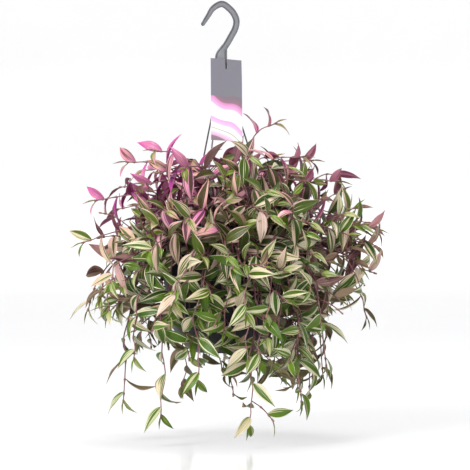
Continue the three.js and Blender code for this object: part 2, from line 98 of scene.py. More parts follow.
# ---- Pot and soil ----
LIP_Z = -319
LIP_RADIUS = 86
LIP_THICKNESS = 2.2
SKIRT_DEPTH = 6
WALL = 1.6
WALL_LIFT = 0.6  # share of the wall by which its inside is higher than its outside
FLOOR = 2.4
POT_DEPTH = 121
BASE_RADIUS = 38
BASE_CORNER = (1.5, 1.2)  # the rounded corner above the base, as (outwards, up)
POT_SIDE = [(77, LIP_THICKNESS), (73, 45), (66.5, 80), (58, 100), (47.5, 114)]
SIDE_STEPS = 60
MOULD_RING = {"depth": 20, "groove": 0.25, "width": 0.8}
FOOT = {"radius": 28, "ring": 29.5, "height": 1.5}
LIP_PROFILE = [
    # from the wall out to the lip's edge, as (inwards from the edge, down from the top)
    (WALL + 0.4, LIP_THICKNESS), (WALL, LIP_THICKNESS + 0.5), (WALL, SKIRT_DEPTH - 0.3),
    (WALL - 0.3, SKIRT_DEPTH), (0.3, SKIRT_DEPTH), (0, SKIRT_DEPTH - 0.4),
]
LIP_ROUNDING = 1.4
MOUTH_ROUNDING = 0.8
SOIL_DROP = 14
SOIL_HEAP = 5
SOIL_RINGS = 30
SOIL_Z = LIP_Z - SOIL_DROP
SOIL_WORN = {"from": 0.93, "depth": 3}  # the soil has sunk at its edge
CRUMBS = {"scale": 0.22, "height": 1.3, "depth": 4, "fade": 6}
CRUMB_NOISE = (0.9, 2.1, 4)  # roughness, lacunarity and octaves
ROOT_DEPTH = 20
GAP = 0.3

# ---- Card tag ----
CARD = {"width": 41, "height": 108, "thickness": 0.5, "x": 5.5, "top": -66}
CARD_TURN = {"yaw": 15, "lean": 15, "roll": 3.5}
CAD_CARD_THICKNESS = 0.8
CARD_GRID = (29, 49)
CARD_BULGE = 0.88
CARD_FLAP = {"lift": 1.4, "height": 30, "width": 16}  # the corner beside the slit stands off
SLIT = {"width": 2.6, "depth": 13}
CARD_PLACE = (
    Matrix.Translation((CARD["x"], -NECK_DEPTH / 2 - GAP - CAD_CARD_THICKNESS, CARD["top"]))
    @ Matrix.Rotation(math.radians(CARD_TURN["yaw"]), 4, "Z")
    @ Matrix.Rotation(math.radians(-CARD_TURN["lean"]), 4, "X")
    @ Matrix.Rotation(math.radians(CARD_TURN["roll"]), 4, "Y")
)

# ---- Stems ----
STEM_RADIUS = 1.6
STEM_ROOM = {"asked": 0.8, "kept": 0.5}  # round a stem that grows, and round one that stands
STRAIGHT = SOIL_HEAP + 3
ROOT_CIRCLES = (12, 59)
ROOT_ROOM = 7.5
REROOT = 4  # degrees by which a root moves at each try
ROOT_TRIES = 90
WAY_TRIES = 11
SWING = 5  # degrees by which a way swings aside at each try
SWING_LIFT = 2
# What a stem passes after its root, each time with the share of its way first. A rising stem: share of
# the reach, height over the lip, and share of the rise. A trailing stem: how far out beside its root,
# radius and height over the lip, and shares of the reach and of the fall on its way down.
RISING = [(0.1, 0.08, 12, 0.25), (0.6, 0.45, 26, 0.72)]
TRAILING = {"beside": (0.15, 3), "over": (0.6, 98, 18), "down": (0.85, 0.72, 0.42)}
CLEAR = 1
CLEAR_WALL = 3  # how many times its own room a stem keeps off the inside of the wall

# ---- Leaves ----
LEAF_LENGTH = 44
LEAF_WIDTH = 14.5
LEAF_SUNK = 2
LEAF_SPOTS = [
    # from the stem's end back: distance, length against a full-grown leaf, and degrees off the stem
    (0, 0.42, 6), (3, 0.62, 36), (12, 0.86, 52), (30, 1, 64), (54, 1.04, 64), (80, 1, 64), (107, 0.98, 64),
]
BARE_BASE = 62
NODE_SPAN = 6  # a stem's direction at a node is taken over this length
LEAF_TURN = 150
FIRST_TURN = 90
LEAF_BEND = (26, 60)
YOUNGEST = {"width": 0.5, "bend": 8}
VARIES = {"size": 0.16, "open": 14, "turn": 40}
FULL_GROWN = 3  # leaves from this one on vary in how far they open
LIGHT = (0.62, 0.78)  # leaves turn their faces outwards and up
FACING = (0.55, 0.75)  # share of the stem's direction and of the light in the way a leaf faces
LEAF_SAG = 0.12
LEAF_TRIES = 13
DODGE = {"turn": 22, "close": 3}  # degrees by which a leaf moves at each try
LEAF_SAMPLES = np.array([0.18, 0.34, 0.5, 0.66, 0.82, 0.98])
LEAF_ROOM = 0.9

# ---- Where the solids' stems end ----
REACH = [
    # height, and how far out the plant reaches there
    (-140, 66), (-185, 112), (-220, 150), (-260, 174), (-300, 186), (-345, 178), (-390, 172), (-440, 152),
    (-530, 126),
]
RISING_REACH = REACH[::-1]
FRONT_ENDS = [
    # as (x, z)
    (70, -147), (-86, -182), (36, -189), (104, -190), (-122, -197), (-47, -204), (150, -222),
    (-162, -246), (61, -262), (-41, -266), (110, -272), (200, -284), (-177, -299), (-92, -306),
    (8, -312), (178, -334), (-140, -348), (-60, -372), (30, -384), (-172, -388), (186, -398),
    (-110, -444), (47, -447), (132, -456), (-30, -470), (100, -500), (-125, -502), (-76, -516),
    (33, -527),
]
BACK_STEMS = 15
BACK_TURNS = (12, 168)
BACK_HEIGHTS = (-185, -510)
BACK_REACH = 0.97
GOLDEN = 0.6180339887498949
SEED = 2024

# ---- What this script adds to the solids' stems and leaves ----
MORE_LEAVES_STEP = 25  # between leaves on the stretch that the solids leave bare
MORE_LEAF = (0.94, 62)  # length and degrees off the stem, as in LEAF_SPOTS
SHOOT_SPOTS = [(0, 0.4, 6), (3, 0.6, 36), (10, 0.8, 50), (24, 0.92, 62)]
SHOOT_LENGTHS = (28, 58)
SHOOT_STEP = 34  # between side shoots along a stem
SHOOT_TURNS = (-75, 75)  # degrees round the stem, from its upper side
SHOOT_AHEAD = 0.6  # share of its stem's direction in a shoot's own
SHOOT_SAG = 0.18
SHOOT_BARE = 10  # a shoot has no leaf this near its root
INNER_STEMS = 112
INNER_HEIGHTS = (-188, -500)
INNER_POWER = 0.85  # below 1, so that more of the inner stems hang low
INNER_REACH = (0.42, 0.94)
INNER_SHIFT = 16  # the plant leans a little to the right of its hanger
INNER_ROOTS = 0.93  # inner stems root this much nearer the middle of the pot
INNER_ROOT_ROOM = 4.5
INNER_TRIES = (9, 5)  # roots, and ways from each
HUG_POT = 22  # how near the pot an inner stem may hang
EDGE_STEMS = [
    # turn in degrees, height of the end, and share of the reach there
    (-24, -276, 0.98), (-4, -306, 0.98), (12, -338, 0.96), (-18, -366, 0.98), (189, -374, 1),
    (201, -392, 1),
]
OUTLINE = [
    # heights from the lowest up, each with how far left and right the added foliage reaches there
    (-528, (42, 74)), (-509, (24, 108)), (-483, (0, 120)), (-461, (-20, 128)), (-449, (-70, 130)),
    (-432, (-92, 136)), (-406, (-168, 164)), (-385, (-186, 186)), (-355, (-158, 194)),
    (-330, (-148, 204)), (-304, (-164, 212)), (-278, (-172, 212)), (-253, (-163, 208)),
    (-227, (-141, 196)), (-208, (-118, 160)), (-194, (-100, 125)), (-180, (10, 40)),
]
CROWDED = 5.0  # millimetres of overlap at which an added leaf is left out
SQUEEZE = {"leaf": 0.55, "shoot": 0.6, "stem": 0.7, "pot": 0.6}  # of the radii in tests
ADDED_TRIES = 9
ROLL = 1.1  # how far to either side an added leaf's face may look
ADDED_SAG = -0.25  # added leaves stand out more than the solids' leaves
ZIGZAG = {"step": 27, "aside": 3}  # a stem turns a little at each node
MEANDER = {"length": 140, "aside": 4.5}
WAVER_OUT = 0.4  # share of its sideways shift by which a stem also moves outwards
WAVER_FROM = (60, 140)  # distances from the root over which a stem starts to waver
WAVER_TO = (4, 27)  # and distances from its end over which it stops

# ---- Shapes of leaves and stems ----
BLADE = 0.45  # thickness along the midrib
BLADE_THINS = 0.55  # share of it that is lost towards the edge
FOLDS = (0.12, 0.5)  # rise of a blade's edges over its midrib, as a share of the half width
YOUNG_FOLD = 1.1
FOLD_CURVE = {"rise": 1.35, "droop": 0.35, "soft": 0.006}
LEAF_TWIST = (-0.35, 0.35)
LEAF_BOW = (-0.07, 0.07)
RIPPLES = (0.02, 0.1)
RIPPLE_COUNT = 1.6
TIP_DRAWN = 0.45
STEM_RING = 4.5  # between the rings of a stem's skin
STEM_RADII = (1.3, 0.62)
SHOOT_RADII = (0.75, 0.55)
# A stem's swelling at a node, the sheath above it, and the length of its paler mark.
NODE = {"swell": 0.5, "width": 1.5, "sheath": 0.45, "sheath_length": 6, "mark": 3}
RINGS_AT_NODE = (-1.5, 0, 2, 5)
CENTRIPETAL = 0.25  # a spline's power for a line with sharp turns

# ---- Colours, linear ----
GREEN_DARK = (0.01, 0.03, 0.002)
GREEN = (0.028, 0.075, 0.004)
GREEN_WARM = (0.05, 0.084, 0.003)
GREEN_SILVER = (0.085, 0.145, 0.028)
GREEN_YOUNG = (0.14, 0.23, 0.008)
GREEN_FRESH = (0.06, 0.135, 0.006)
GREEN_UNDER = (0.095, 0.105, 0.03)
CREAM = (0.56, 0.53, 0.36)
CREAM_WARM = (0.58, 0.47, 0.32)
SALMON = (0.6, 0.31, 0.25)
ROSE = (0.6, 0.23, 0.36)
MAGENTA = (0.48, 0.045, 0.3)
# the undersides' magenta under painted light shining through
MAGENTA_DEEP = (0.28, 0.018, 0.16)
PLUM = (0.06, 0.017, 0.022)
MAROON = (0.09, 0.04, 0.042)
DUSKY = (0.39, 0.27, 0.175)
MAUVE = (0.36, 0.165, 0.19)
STEM_PURPLE = (0.1, 0.02, 0.045)
STEM_BROWN = (0.14, 0.045, 0.05)
STEM_TENDER = (0.2, 0.085, 0.09)
STEM_NODE = (0.2, 0.12, 0.08)
SOIL_DARK = (0.016, 0.01, 0.007)
SOIL_LIGHT = (0.07, 0.043, 0.028)
SOIL_FLECK = (0.3, 0.24, 0.18)
# painted shade on the band's and neck's rims, which the block and rods take all over, and painted light on
# their web, on grey plastic of one colour
HANGER_RIM_SHADE = (0.058, 0.06, 0.066)
HANGER_WEB_LIT = (0.15, 0.155, 0.168)
POT_DARK = (0.01, 0.011, 0.014)
POT_LIGHT = (0.019, 0.021, 0.026)
BOARD = (0.82, 0.81, 0.8)
CARD_HEAD = (0.115, 0.11, 0.135)
CARD_HEAD_END = 0.46
CARD_WAVES = [
    # colours down the card's print below its head, each with the level at which it is full
    (0.42, (0.13, 0.09, 0.11)), (0.49, (0.19, 0.09, 0.14)), (0.5, (0.44, 0.15, 0.32)),
    (0.575, (0.6, 0.3, 0.5)), (0.595, (0.7, 0.67, 0.69)), (0.73, (0.72, 0.71, 0.71)),
    (0.74, (0.6, 0.26, 0.5)), (0.8, (0.64, 0.38, 0.58)), (0.815, (0.72, 0.7, 0.7)),
    (0.868, (0.72, 0.7, 0.7)), (0.876, (0.2, 0.26, 0.12)), (0.892, (0.72, 0.71, 0.7)),
    (0.94, (0.62, 0.4, 0.56)), (0.975, (0.5, 0.3, 0.42)), (0.985, (0.18, 0.11, 0.15)),
]
STAGE_WHITE = (0.65, 0.65, 0.655)
STAGE_GREY = (0.62, 0.62, 0.63)
WHITE = (1, 1, 1)

# ---- How the leaves' colours, painted light and painted shade are spread over the plant ----
PINK_HEIGHTS = (-345, -225)  # leaves are greener below the first and pinker above the second
FRESH_HEIGHTS = (-430, -310)  # and of a fresher green lower down
PINK_SIDES = (60, -140)  # and pinker to the left
SHADED_HOLLOW = (-10, -110, -287)  # the burgundy hollow under the card, partly the plant's own maroon and partly painted shade
SHADED_HOLLOW_SIZE = 75
DEEP_SHADE = (0.8, 0.4)  # how far out leaves are still bright, and from where on they are deep in the plant, in painted shade
SHADED = (0.9, 0.5)  # the same for their loss of cream, as painted shade
# What makes up a leaf's pink, its cream and the painted light shining through its underside.
# deep: painted shade deep in the plant, partly its own burgundy, adding pink and taking cream
PINK = {"leaf": (0.22, 0.72), "side": (0.5, 1.65), "stray": 0.14, "deep": 0.2}
CREAMY = {"least": 0.07, "high": 0.14, "leaf": 0.46, "stem": 0.2, "deep": 0.6, "shaded": 0.5}
# painted light shining through the leaves, brighter high up and to the left; their magenta is their own
PAINTED_GLOW = {"side": (0.5, 1.1), "leaf": (0.5, 1), "stray": 0.12}
BLUSHING = 0.13  # share of stems whose leaves are almost wholly pink
BLUSH = {"least": 0.15, "high": 0.55, "leaf": 0.3, "cream": (0.85, 1)}
YOUTH = (0.95, 0.6, 0.2)  # of the leaves from a stem's end back

# ---- Patterns of the materials ----
STRIPES = {"broad": 1.25, "fine": 4.6, "veins": 17, "along": 0.45}
STRIPE_SHIFT = 91  # moves each leaf to a stretch of the noise of its own
STRIPE_SHARES = {"broad": 0.55, "fine": 0.45, "margin": 0.05}
PALE_LEVELS = (0.605, 0.43)  # the noise is pale over these, on leaves without cream and all of cream
PALE_STEP = (-0.012, 0.012)
SILVER_STEP = (-0.05, -0.02)
RIB_STEP = (0.07, 0.02)
MARGIN_STEP = (0.78, 0.9)
SEED_DRAWS = (7.7, 5.3, 3.1)  # each makes another random value of a leaf's seed
TOP_STEPS = {
    "young": (1.1, 0.25), "mottled": (0.3, 0.7), "plum": (0.1, 1), "base": (0.55, 0), "warm": (0.4, 1),
    "rosy": (0.08, 0.75), "streaks": (0.5, 0.25), "glow_flush": (0.6, 0.9),
}
TOP_SHARES = {"fresh": 0.45, "silver": 0.6, "streaks": 0.45, "rib": 0.35, "glow_flush": 0.75}
UNDER_SHARES = {"pale": 0.8, "silver": 0.25, "rib": 0.3, "young": 0.5}
STEM_STEPS = {"brown": (0.3, 0.7), "tender": (0.55, 1)}
STEM_NODE_SHARE = 0.6
# a band's web takes the lighter colour by its web share, as painted light
PLASTIC = {"step": (0.3, 0.7), "flow": 0.3, "web": 0.8, "wear": 0.06}
SOIL_STEPS = {"clods": (0.35, 0.65), "flecks": (0.68, 0.74)}
WAVE = {"across": 5, "down": 6, "height": 0.022}
RIPPLE = {"across": 9, "shift": 1, "height": 0.008, "head": 0.004}
WAVES_SHIFT = {"across": -0.17, "down": 0.05}
HEAD_SOFT = 0.004  # softness of the card's head at its lower edge
CARD_WORN = 0.05  # how much the board shows through the print
CARD_SIDES = (0.4, 0.6)  # between the card's back, at 0, and its front, at 1

# ---- Stage ----
STAGE_Z = -553
STAGE_RADIUS = 7000
WALL_CURVE = 2500
WALL_HEIGHT = 7000
STAGE_STEPS = 12
STAGE_GLOW = 0.55  # rises to this between the GLOW_RADII, in metres, where the lamps reach less
GLOW_RADII = (0.8, 12)

# ---- Light and camera, in metres ----
SKY = 0.6
AIM = (0.0166, 0, -0.291)
LAMPS = [
    # name, place, size, watts
    ("key", (-1.6, -2.2, 1.5), 1.2, 117),
    ("fill", (3.3, -2.7, 0.9), 2.4, 40),
    ("top", (0.2, 0.5, 2.4), 1.4, 60),
]
CAMERA_DISTANCE = 4.0
CAMERA_TILT = 2
CAMERA_SENSOR = 36
CAMERA_REACH = 100
FRAME_WIDTH = 0.6016


# ---- Small helpers ----
def mix(pair, share):
    return pair[0] + (pair[1] - pair[0]) * share


def smooth(low, high, x):
    share = min(1, max(0, (x - low) / (high - low)))
    return share * share * (3 - 2 * share)


def unit(v):
    return v / np.linalg.norm(v)


def outward(place):
    """The level direction from the plant's axis to a place."""
    return unit(np.array([place[0], place[1], 0]))


def around(turn, radius, z):
    return np.array([radius * math.cos(turn), radius * math.sin(turn), z])


def between(steps, x):
    k = 1
    while k < len(steps) - 1 and x > steps[k][0]:
        k += 1
    share = (x - steps[k - 1][0]) / (steps[k][0] - steps[k - 1][0])
    return mix((steps[k - 1][1], steps[k][1]), min(1, max(0, share)))


def tries(count):
    """0, 1, -1, 2, -2 and so on."""
    return [(k + 1) // 2 if k % 2 else -k // 2 for k in range(count)]


def make_draw(seed):
    state = seed

    def draw():
        nonlocal state
        state = (state * 16807) % 2147483647
        return state / 2147483647

    return draw


def quarter_turn(steps):
    """The cosine and sine of evenly spaced angles from 0 to 90 degrees."""
    return [(math.cos(math.pi / 2 * k / steps), math.sin(math.pi / 2 * k / steps)) for k in range(steps + 1)]


def spline(points, share, power=0.0):
    """A Catmull-Rom curve's points at each share: uniform at power 0 and centripetal at 0.25."""
    points = np.asarray(points, float)
    last = len(points) - 1
    extended = np.vstack([2 * points[0] - points[1], points, 2 * points[last] - points[last - 1]])
    k = np.minimum((np.asarray(share) * last).astype(int), last - 1)
    w = (share * last - k)[:, None]
    p0, p1, p2, p3 = (extended[k + i] for i in range(4))
    d0, d1, d2 = (np.sum((b - a) ** 2, 1)[:, None] ** power for a, b in ((p0, p1), (p1, p2), (p2, p3)))
    t1 = ((p1 - p0) / d0 - (p2 - p0) / (d0 + d1) + (p2 - p1) / d1) * d1
    t2 = ((p2 - p1) / d1 - (p3 - p1) / (d1 + d2) + (p3 - p2) / d2) * d1
    return p1 + t1 * w + (3 * (p2 - p1) - 2 * t1 - t2) * w**2 + (2 * (p1 - p2) + t1 + t2) * w**3


class Way:
    """A line through points, measured along its length."""

    def __init__(self, line, steps=LINE_STEPS["stem"], power=0.0):
        self.points = spline(line, np.arange(steps + 1) / steps, power)
        steps_taken = np.linalg.norm(np.diff(self.points, axis=0), axis=1)
        self.lengths = np.concatenate([[0], np.cumsum(steps_taken)])
        self.length = self.lengths[-1]

    def at(self, distance):
        k = int(np.searchsorted(self.lengths, distance, side="left"))
        k = min(max(k, 1), len(self.points) - 1)
        share = (distance - self.lengths[k - 1]) / (self.lengths[k] - self.lengths[k - 1])
        return mix((self.points[k - 1], self.points[k]), share)


# ---- Room to grow ----
class Room:
    """What stands, as balls with their owners, so that what grows next is bent clear of it."""

    MOST_BALLS = 40000
    NEAR = 24  # balls with centres further apart than this along an axis can't touch

    def __init__(self):
        self.balls = np.zeros((self.MOST_BALLS, 5))  # x, y, z, radius and owner of each
        self.numbers = {}
        self.count = 0

    def number(self, owner):
        return self.numbers.setdefault(owner, len(self.numbers))

    def stand(self, owner, centres, radii):
        new = slice(self.count, self.count + len(centres))
        self.balls[new, :3] = centres
        self.balls[new, 3] = radii
        self.balls[new, 4] = self.number(owner)
        self.count = new.stop

    def overlaps(self, owner, centres, radii, squeeze=1.0):
        """How far each ball reaches into others, with all radii squeezed."""
        balls = self.balls[: self.count]
        low, high = centres.min(0) - self.NEAR, centres.max(0) + self.NEAR
        near = np.all((balls[:, :3] > low) & (balls[:, :3] < high), axis=1)
        others = balls[near & (balls[:, 4] != self.number(owner))]
        apart = np.linalg.norm(centres[:, None] - others[None, :, :3], axis=2)
        reach = np.broadcast_to(radii, len(centres))[:, None] + others[None, :, 3]
        return (reach * squeeze - apart).ravel()

    def crowding(self, owner, centres, radii, squeeze):
        return float(np.clip(self.overlaps(owner, centres, radii, squeeze), 0, None).sum())

    def is_free(self, owner, centres, radii):
        return bool((self.overlaps(owner, centres, radii) < 0).all())


room = Room()


def stand_hanger(rods):
    """Lets the rods and the card take up their room before anything grows."""
    steps, cell = HANGER_BALLS["rod_steps"], HANGER_BALLS["card_step"]
    for rod in rods:
        along = [mix((rod.top, rod.end), k / steps) for k in range(steps + 1)]
        room.stand("hanger", along, HANGER_BALLS["rod"])
    columns = np.arange(-CARD["width"] / 2, CARD["width"] / 2, cell)
    rows = np.arange(0, -CARD["height"] - cell, -cell)
    card = [CARD_PLACE @ Vector((x, 0, z)) for x in columns for z in rows]
    room.stand("hanger", card, HANGER_BALLS["card"])


def pot_radius(z):
    depth = LIP_Z - z
    if depth < SKIRT_DEPTH:
        return LIP_RADIUS
    return between([(below, radius) for radius, below in POT_SIDE] + [(POT_DEPTH, BASE_RADIUS)], depth)


def is_off_pot(centre, radius):
    clear = radius + CLEAR
    if centre[2] > LIP_Z + clear or centre[2] < LIP_Z - POT_DEPTH - clear:
        return True
    return math.hypot(centre[0], centre[1]) > pot_radius(centre[2]) + clear


def is_stem_off_pot(centre):
    clear = STEM_RADIUS + CLEAR
    inside = math.hypot(centre[0], centre[1]) < pot_radius(SOIL_Z) - WALL - CLEAR_WALL * clear
    return (inside and centre[2] > SOIL_Z - GAP) or is_off_pot(centre, clear)


def outwards(place):
    """How far out a place is in the added foliage: 0 in its middle and 1 at its outline."""
    left, right = (between([(height, sides[k]) for height, sides in OUTLINE], place[2]) for k in (0, 1))
    middle, half = (left + right) / 2, (right - left) / 2
    return math.hypot((place[0] - middle) / half, place[1] / between(RISING_REACH, place[2]))


# ---- How a stem grows ----
class Stem:
    """A stem or side shoot: its way from its root, the spots for its leaves, and what grew on it."""

    def __init__(self, name, way, spots, root=None, back=0):
        self.name = name
        self.way = way
        self.spots = spots
        self.root = root
        self.back = back
        self.leaves = []
        self.shoots = []

    def stance(self, back):
        """A node's place, the stem's direction and the light's there, and two directions off the stem."""
        node = self.way.at(self.way.length - back)
        ahead = unit(node - self.way.at(self.way.length - back - NODE_SPAN))
        light = outward(node) * LIGHT[0] + np.array([0, 0, LIGHT[1]])
        aside = unit(np.cross(ahead, light))
        return node, ahead, light, np.cross(aside, ahead), aside


def root_place(end, moved):
    fall = (REACH[0][0] - end[2]) / (REACH[0][0] - REACH[-1][0])
    turn = math.atan2(end[1], end[0]) + math.radians(REROOT * moved)
    return around(turn, mix(ROOT_CIRCLES, fall), SOIL_Z)


def stem_line(root, end, swing):
    root_turn = math.atan2(root[1], root[0])
    turn = math.atan2(end[1], end[0]) - root_turn
    sweep = math.atan2(math.sin(turn), math.cos(turn))
    root_radius = math.hypot(root[0], root[1])
    reach = math.hypot(end[0], end[1])
    rise = end[2] - LIP_Z
    if rise > 0:
        middle = [(s, mix((root_radius, reach), out), h + up * rise) for s, out, h, up in RISING]
    else:
        share, radius, height = TRAILING["over"]
        beside, off_root = TRAILING["beside"]
        low, out, down = TRAILING["down"]
        middle = [
            (beside, root_radius + off_root, height / 2),
            (share, radius, height),
            (low, mix((radius, reach), out), mix((height, rise), down)),
        ]
    points = [root, np.array([root[0], root[1], SOIL_Z + STRAIGHT])]
    for share, out, up in middle:
        aside = math.radians(SWING * swing * math.sin(math.pi * share))
        turn = root_turn + sweep * share + aside
        points.append(around(turn, out, LIP_Z + up + SWING_LIFT * abs(swing)))
    return [*points, end]


def find_way(name, end, roots):
    for moved in tries(ROOT_TRIES):
        root = root_place(end, moved)
        if any(np.linalg.norm(other - root) < ROOT_ROOM for other in roots):
            continue
        for swing in tries(WAY_TRIES):
            way = Way(stem_line(root, end, swing))
            off_pot = all(map(is_stem_off_pot, way.points))
            if off_pot and room.is_free(name, way.points, STEM_RADIUS + STEM_ROOM["asked"]):
                return root, way
    raise RuntimeError(f"no way for {name}")


def grow_stem(name, end, roots):
    root, way = find_way(name, end, roots)
    roots.append(root)
    room.stand(name, way.points, STEM_RADIUS + STEM_ROOM["kept"])
    return Stem(name, way, [spot for spot in LEAF_SPOTS if spot[0] < way.length - BARE_BASE], root)


# ---- How a leaf grows ----
def midrib(leaf, share):
    """The midrib's place at each share of its length, and the way its upper face looks there."""
    bent = leaf.bend * share
    ahead = np.sin(bent) / leaf.bend * leaf.length
    down = (1 - np.cos(bent)) / leaf.bend * leaf.length
    place = leaf.base + np.outer(ahead, leaf.along) - np.outer(down, leaf.above)
    face = np.outer(np.cos(bent), leaf.above) + np.outer(np.sin(bent), leaf.along)
    return place, face


def half_width(leaf, share):
    return np.sin(np.pi * share**0.75) * leaf.width / 2


def leaf_positions(stem, spot, order, draw, count, roll=0.0, sag=LEAF_SAG):
    """A leaf in its own position and then in the ones to which it may be moved aside, nearest first."""
    back, spot_size, spot_open = spot
    youngest = back == 0
    node, ahead, light, towards, aside = stem.stance(back)
    size = spot_size * (1 + VARIES["size"] * (draw() - 0.5))
    turn = FIRST_TURN + LEAF_TURN * order + VARIES["turn"] * (draw() - 0.5)
    opened = spot_open + (VARIES["open"] * (draw() - 0.5) if order >= FULL_GROWN else 0)
    bend = math.radians(YOUNGEST["bend"] if youngest else mix(LEAF_BEND, draw()))
    width = LEAF_WIDTH * size * (YOUNGEST["width"] if youngest else 1)
    for moved in tries(count):
        angle = math.radians(turn + DODGE["turn"] * moved)
        spread = math.radians(opened - DODGE["close"] * abs(moved))
        side = towards * math.cos(angle) + aside * math.sin(angle)
        along = unit(ahead * math.cos(spread) + side * math.sin(spread) - np.array([0, 0, sag]))
        above = ahead * FACING[0] + light * FACING[1] + aside * roll
        above = unit(above - along * above.dot(along))
        base = node - ahead * LEAF_SUNK
        length = LEAF_LENGTH * size
        yield SimpleNamespace(
            base=base, along=along, above=above, bend=bend, length=length, width=width, order=order, back=back
        )


def keep_leaf(stem, leaf):
    stem.leaves.append(leaf)
    room.stand(stem.name, midrib(leaf, LEAF_SAMPLES)[0], half_width(leaf, LEAF_SAMPLES))


def grow_leaf(stem, order, draw):
    """The solids' rule: the first position that has room, or no leaf."""
    if order >= len(stem.spots):
        return
    for leaf in leaf_positions(stem, stem.spots[order], order, draw, LEAF_TRIES):
        places = midrib(leaf, LEAF_SAMPLES)[0]
        radii = half_width(leaf, LEAF_SAMPLES) + LEAF_ROOM
        if all(map(is_off_pot, places, radii)) and room.is_free(stem.name, places, radii):
            keep_leaf(stem, leaf)
            return


def add_leaf(stem, spot, order, draw):
    """An added leaf takes its least crowded position, and is left out if that is too crowded."""
    best, least = None, CROWDED
    roll = ROLL * (2 * draw() - 1)
    for leaf in leaf_positions(stem, spot, order, draw, ADDED_TRIES, roll, ADDED_SAG):
        places = midrib(leaf, LEAF_SAMPLES)[0]
        radii = half_width(leaf, LEAF_SAMPLES)
        if outwards(places[-1]) > 1 or not all(map(is_off_pot, places, radii * SQUEEZE["pot"])):
            continue
        crowding = room.crowding(stem.name, places, radii, SQUEEZE["leaf"])
        if crowding < least:
            best, least = leaf, crowding
    if best:
        keep_leaf(stem, best)


# ---- The whole plant ----
def place_rods():
    """Each rod from the block, through the lip, to a little below it."""
    rods = []
    for turn in map(math.radians, ROD_TURNS):
        spread = (ROD_TOP["spread_x"] * math.cos(turn), ROD_TOP["spread_y"] * math.sin(turn))
        top = np.array([*spread, ROD_TOP["z"]])
        through = around(turn, ROD_CIRCLE, LIP_Z)
        along = unit(through - top)
        end = through + along * (LIP_THICKNESS + BARB_DROP)
        rods.append(SimpleNamespace(top=top, end=end, along=along, through=through))
    return rods


def front_end(x, z):
    reach = between(RISING_REACH, z)
    return np.array([x, -math.sqrt(max(0, reach * reach - x * x)), z])


def back_end(i):
    turn = math.radians(mix(BACK_TURNS, (i * GOLDEN) % 1))
    z = mix(BACK_HEIGHTS, (i + 0.5) / BACK_STEMS)
    return around(turn, BACK_REACH * between(RISING_REACH, z), z)


def grow_plant():
    ends = [front_end(x, z) for x, z in FRONT_ENDS] + [back_end(i) for i in range(BACK_STEMS)]
    roots = []
    stems = [grow_stem(f"leafy_stem_{i + 1:02d}", end, roots) for i, end in enumerate(ends)]
    draw = make_draw(SEED)
    for order in range(len(LEAF_SPOTS)):
        for stem in stems:
            grow_leaf(stem, order, draw)
    return stems, roots


def add_leaves(stem, draw):
    for order, spot in enumerate(stem.spots):
        add_leaf(stem, spot, order, draw)
    add_more_leaves(stem, draw)


def add_more_leaves(stem, draw):
    """Leaves on the stretch of a stem that the spots leave bare."""
    back = LEAF_SPOTS[len(stem.spots) - 1][0] + MORE_LEAVES_STEP
    order = len(LEAF_SPOTS)
    while back < stem.way.length - MORE_LEAVES_STEP:
        add_leaf(stem, (back, *MORE_LEAF), order, draw)
        back += MORE_LEAVES_STEP
        order += 1


def add_shoots(stem, draw):
    back = SHOOT_STEP
    while back < stem.way.length - SHOOT_STEP:
        add_shoot(stem, back, draw)
        back += SHOOT_STEP


def add_shoot(stem, back, draw):
    """A short side shoot that ends in a star of young leaves, where there is room for its stem."""
    node, ahead, _, towards, aside = stem.stance(back)
    angle = math.radians(mix(SHOOT_TURNS, draw()))
    along = unit(ahead * SHOOT_AHEAD + towards * math.cos(angle) + aside * math.sin(angle))
    length = mix(SHOOT_LENGTHS, draw())
    end = node + along * length - np.array([0, 0, SHOOT_SAG * length])
    way = Way([node, node + along * length / 2, end], LINE_STEPS["shoot"])
    overlaps = room.overlaps(stem.name, way.points, STEM_RADIUS, SQUEEZE["shoot"])
    if outwards(end) > 1 or not all(map(is_stem_off_pot, way.points)) or (overlaps > 0).any():
        return
    shoot = Stem(f"{stem.name}_{len(stem.shoots)}", way, SHOOT_SPOTS, back=back)
    room.stand(shoot.name, way.points[3:], STEM_RADIUS)
    for order, spot in enumerate(SHOOT_SPOTS):
        if spot[0] < length - SHOOT_BARE:
            add_leaf(shoot, spot, order, draw)
    stem.shoots.append(shoot)


def add_inner_stem(number, turn, height, reach, roots):
    """A stem that fills the plant, along the least crowded of a few ways."""
    name = f"inner_stem_{number:02d}"
    if height < LIP_Z + HUG_POT:
        reach = max(reach, pot_radius(height) + HUG_POT)
    end = around(turn, reach, height)
    end[0] += INNER_SHIFT
    end[:2] /= max(1, outwards(end))
    best, least = None, math.inf
    for moved in tries(INNER_TRIES[0]):
        root = root_place(end, moved)
        root[:2] *= INNER_ROOTS
        too_near = sum(np.linalg.norm(other - root) < INNER_ROOT_ROOM for other in roots)
        for swing in tries(INNER_TRIES[1]):
            way = Way(stem_line(root, end, swing))
            if not all(map(is_stem_off_pot, way.points)):
                continue
            crowding = room.crowding(name, way.points[::3], STEM_RADIUS, SQUEEZE["stem"])
            crowding += CROWDED * too_near
            if crowding < least:
                best, least = (root, way), crowding
    if best is None:
        return None
    root, way = best
    roots.append(root)
    room.stand(name, way.points, STEM_RADIUS)
    return Stem(name, way, [spot for spot in LEAF_SPOTS if spot[0] < way.length - BARE_BASE / 2], root)


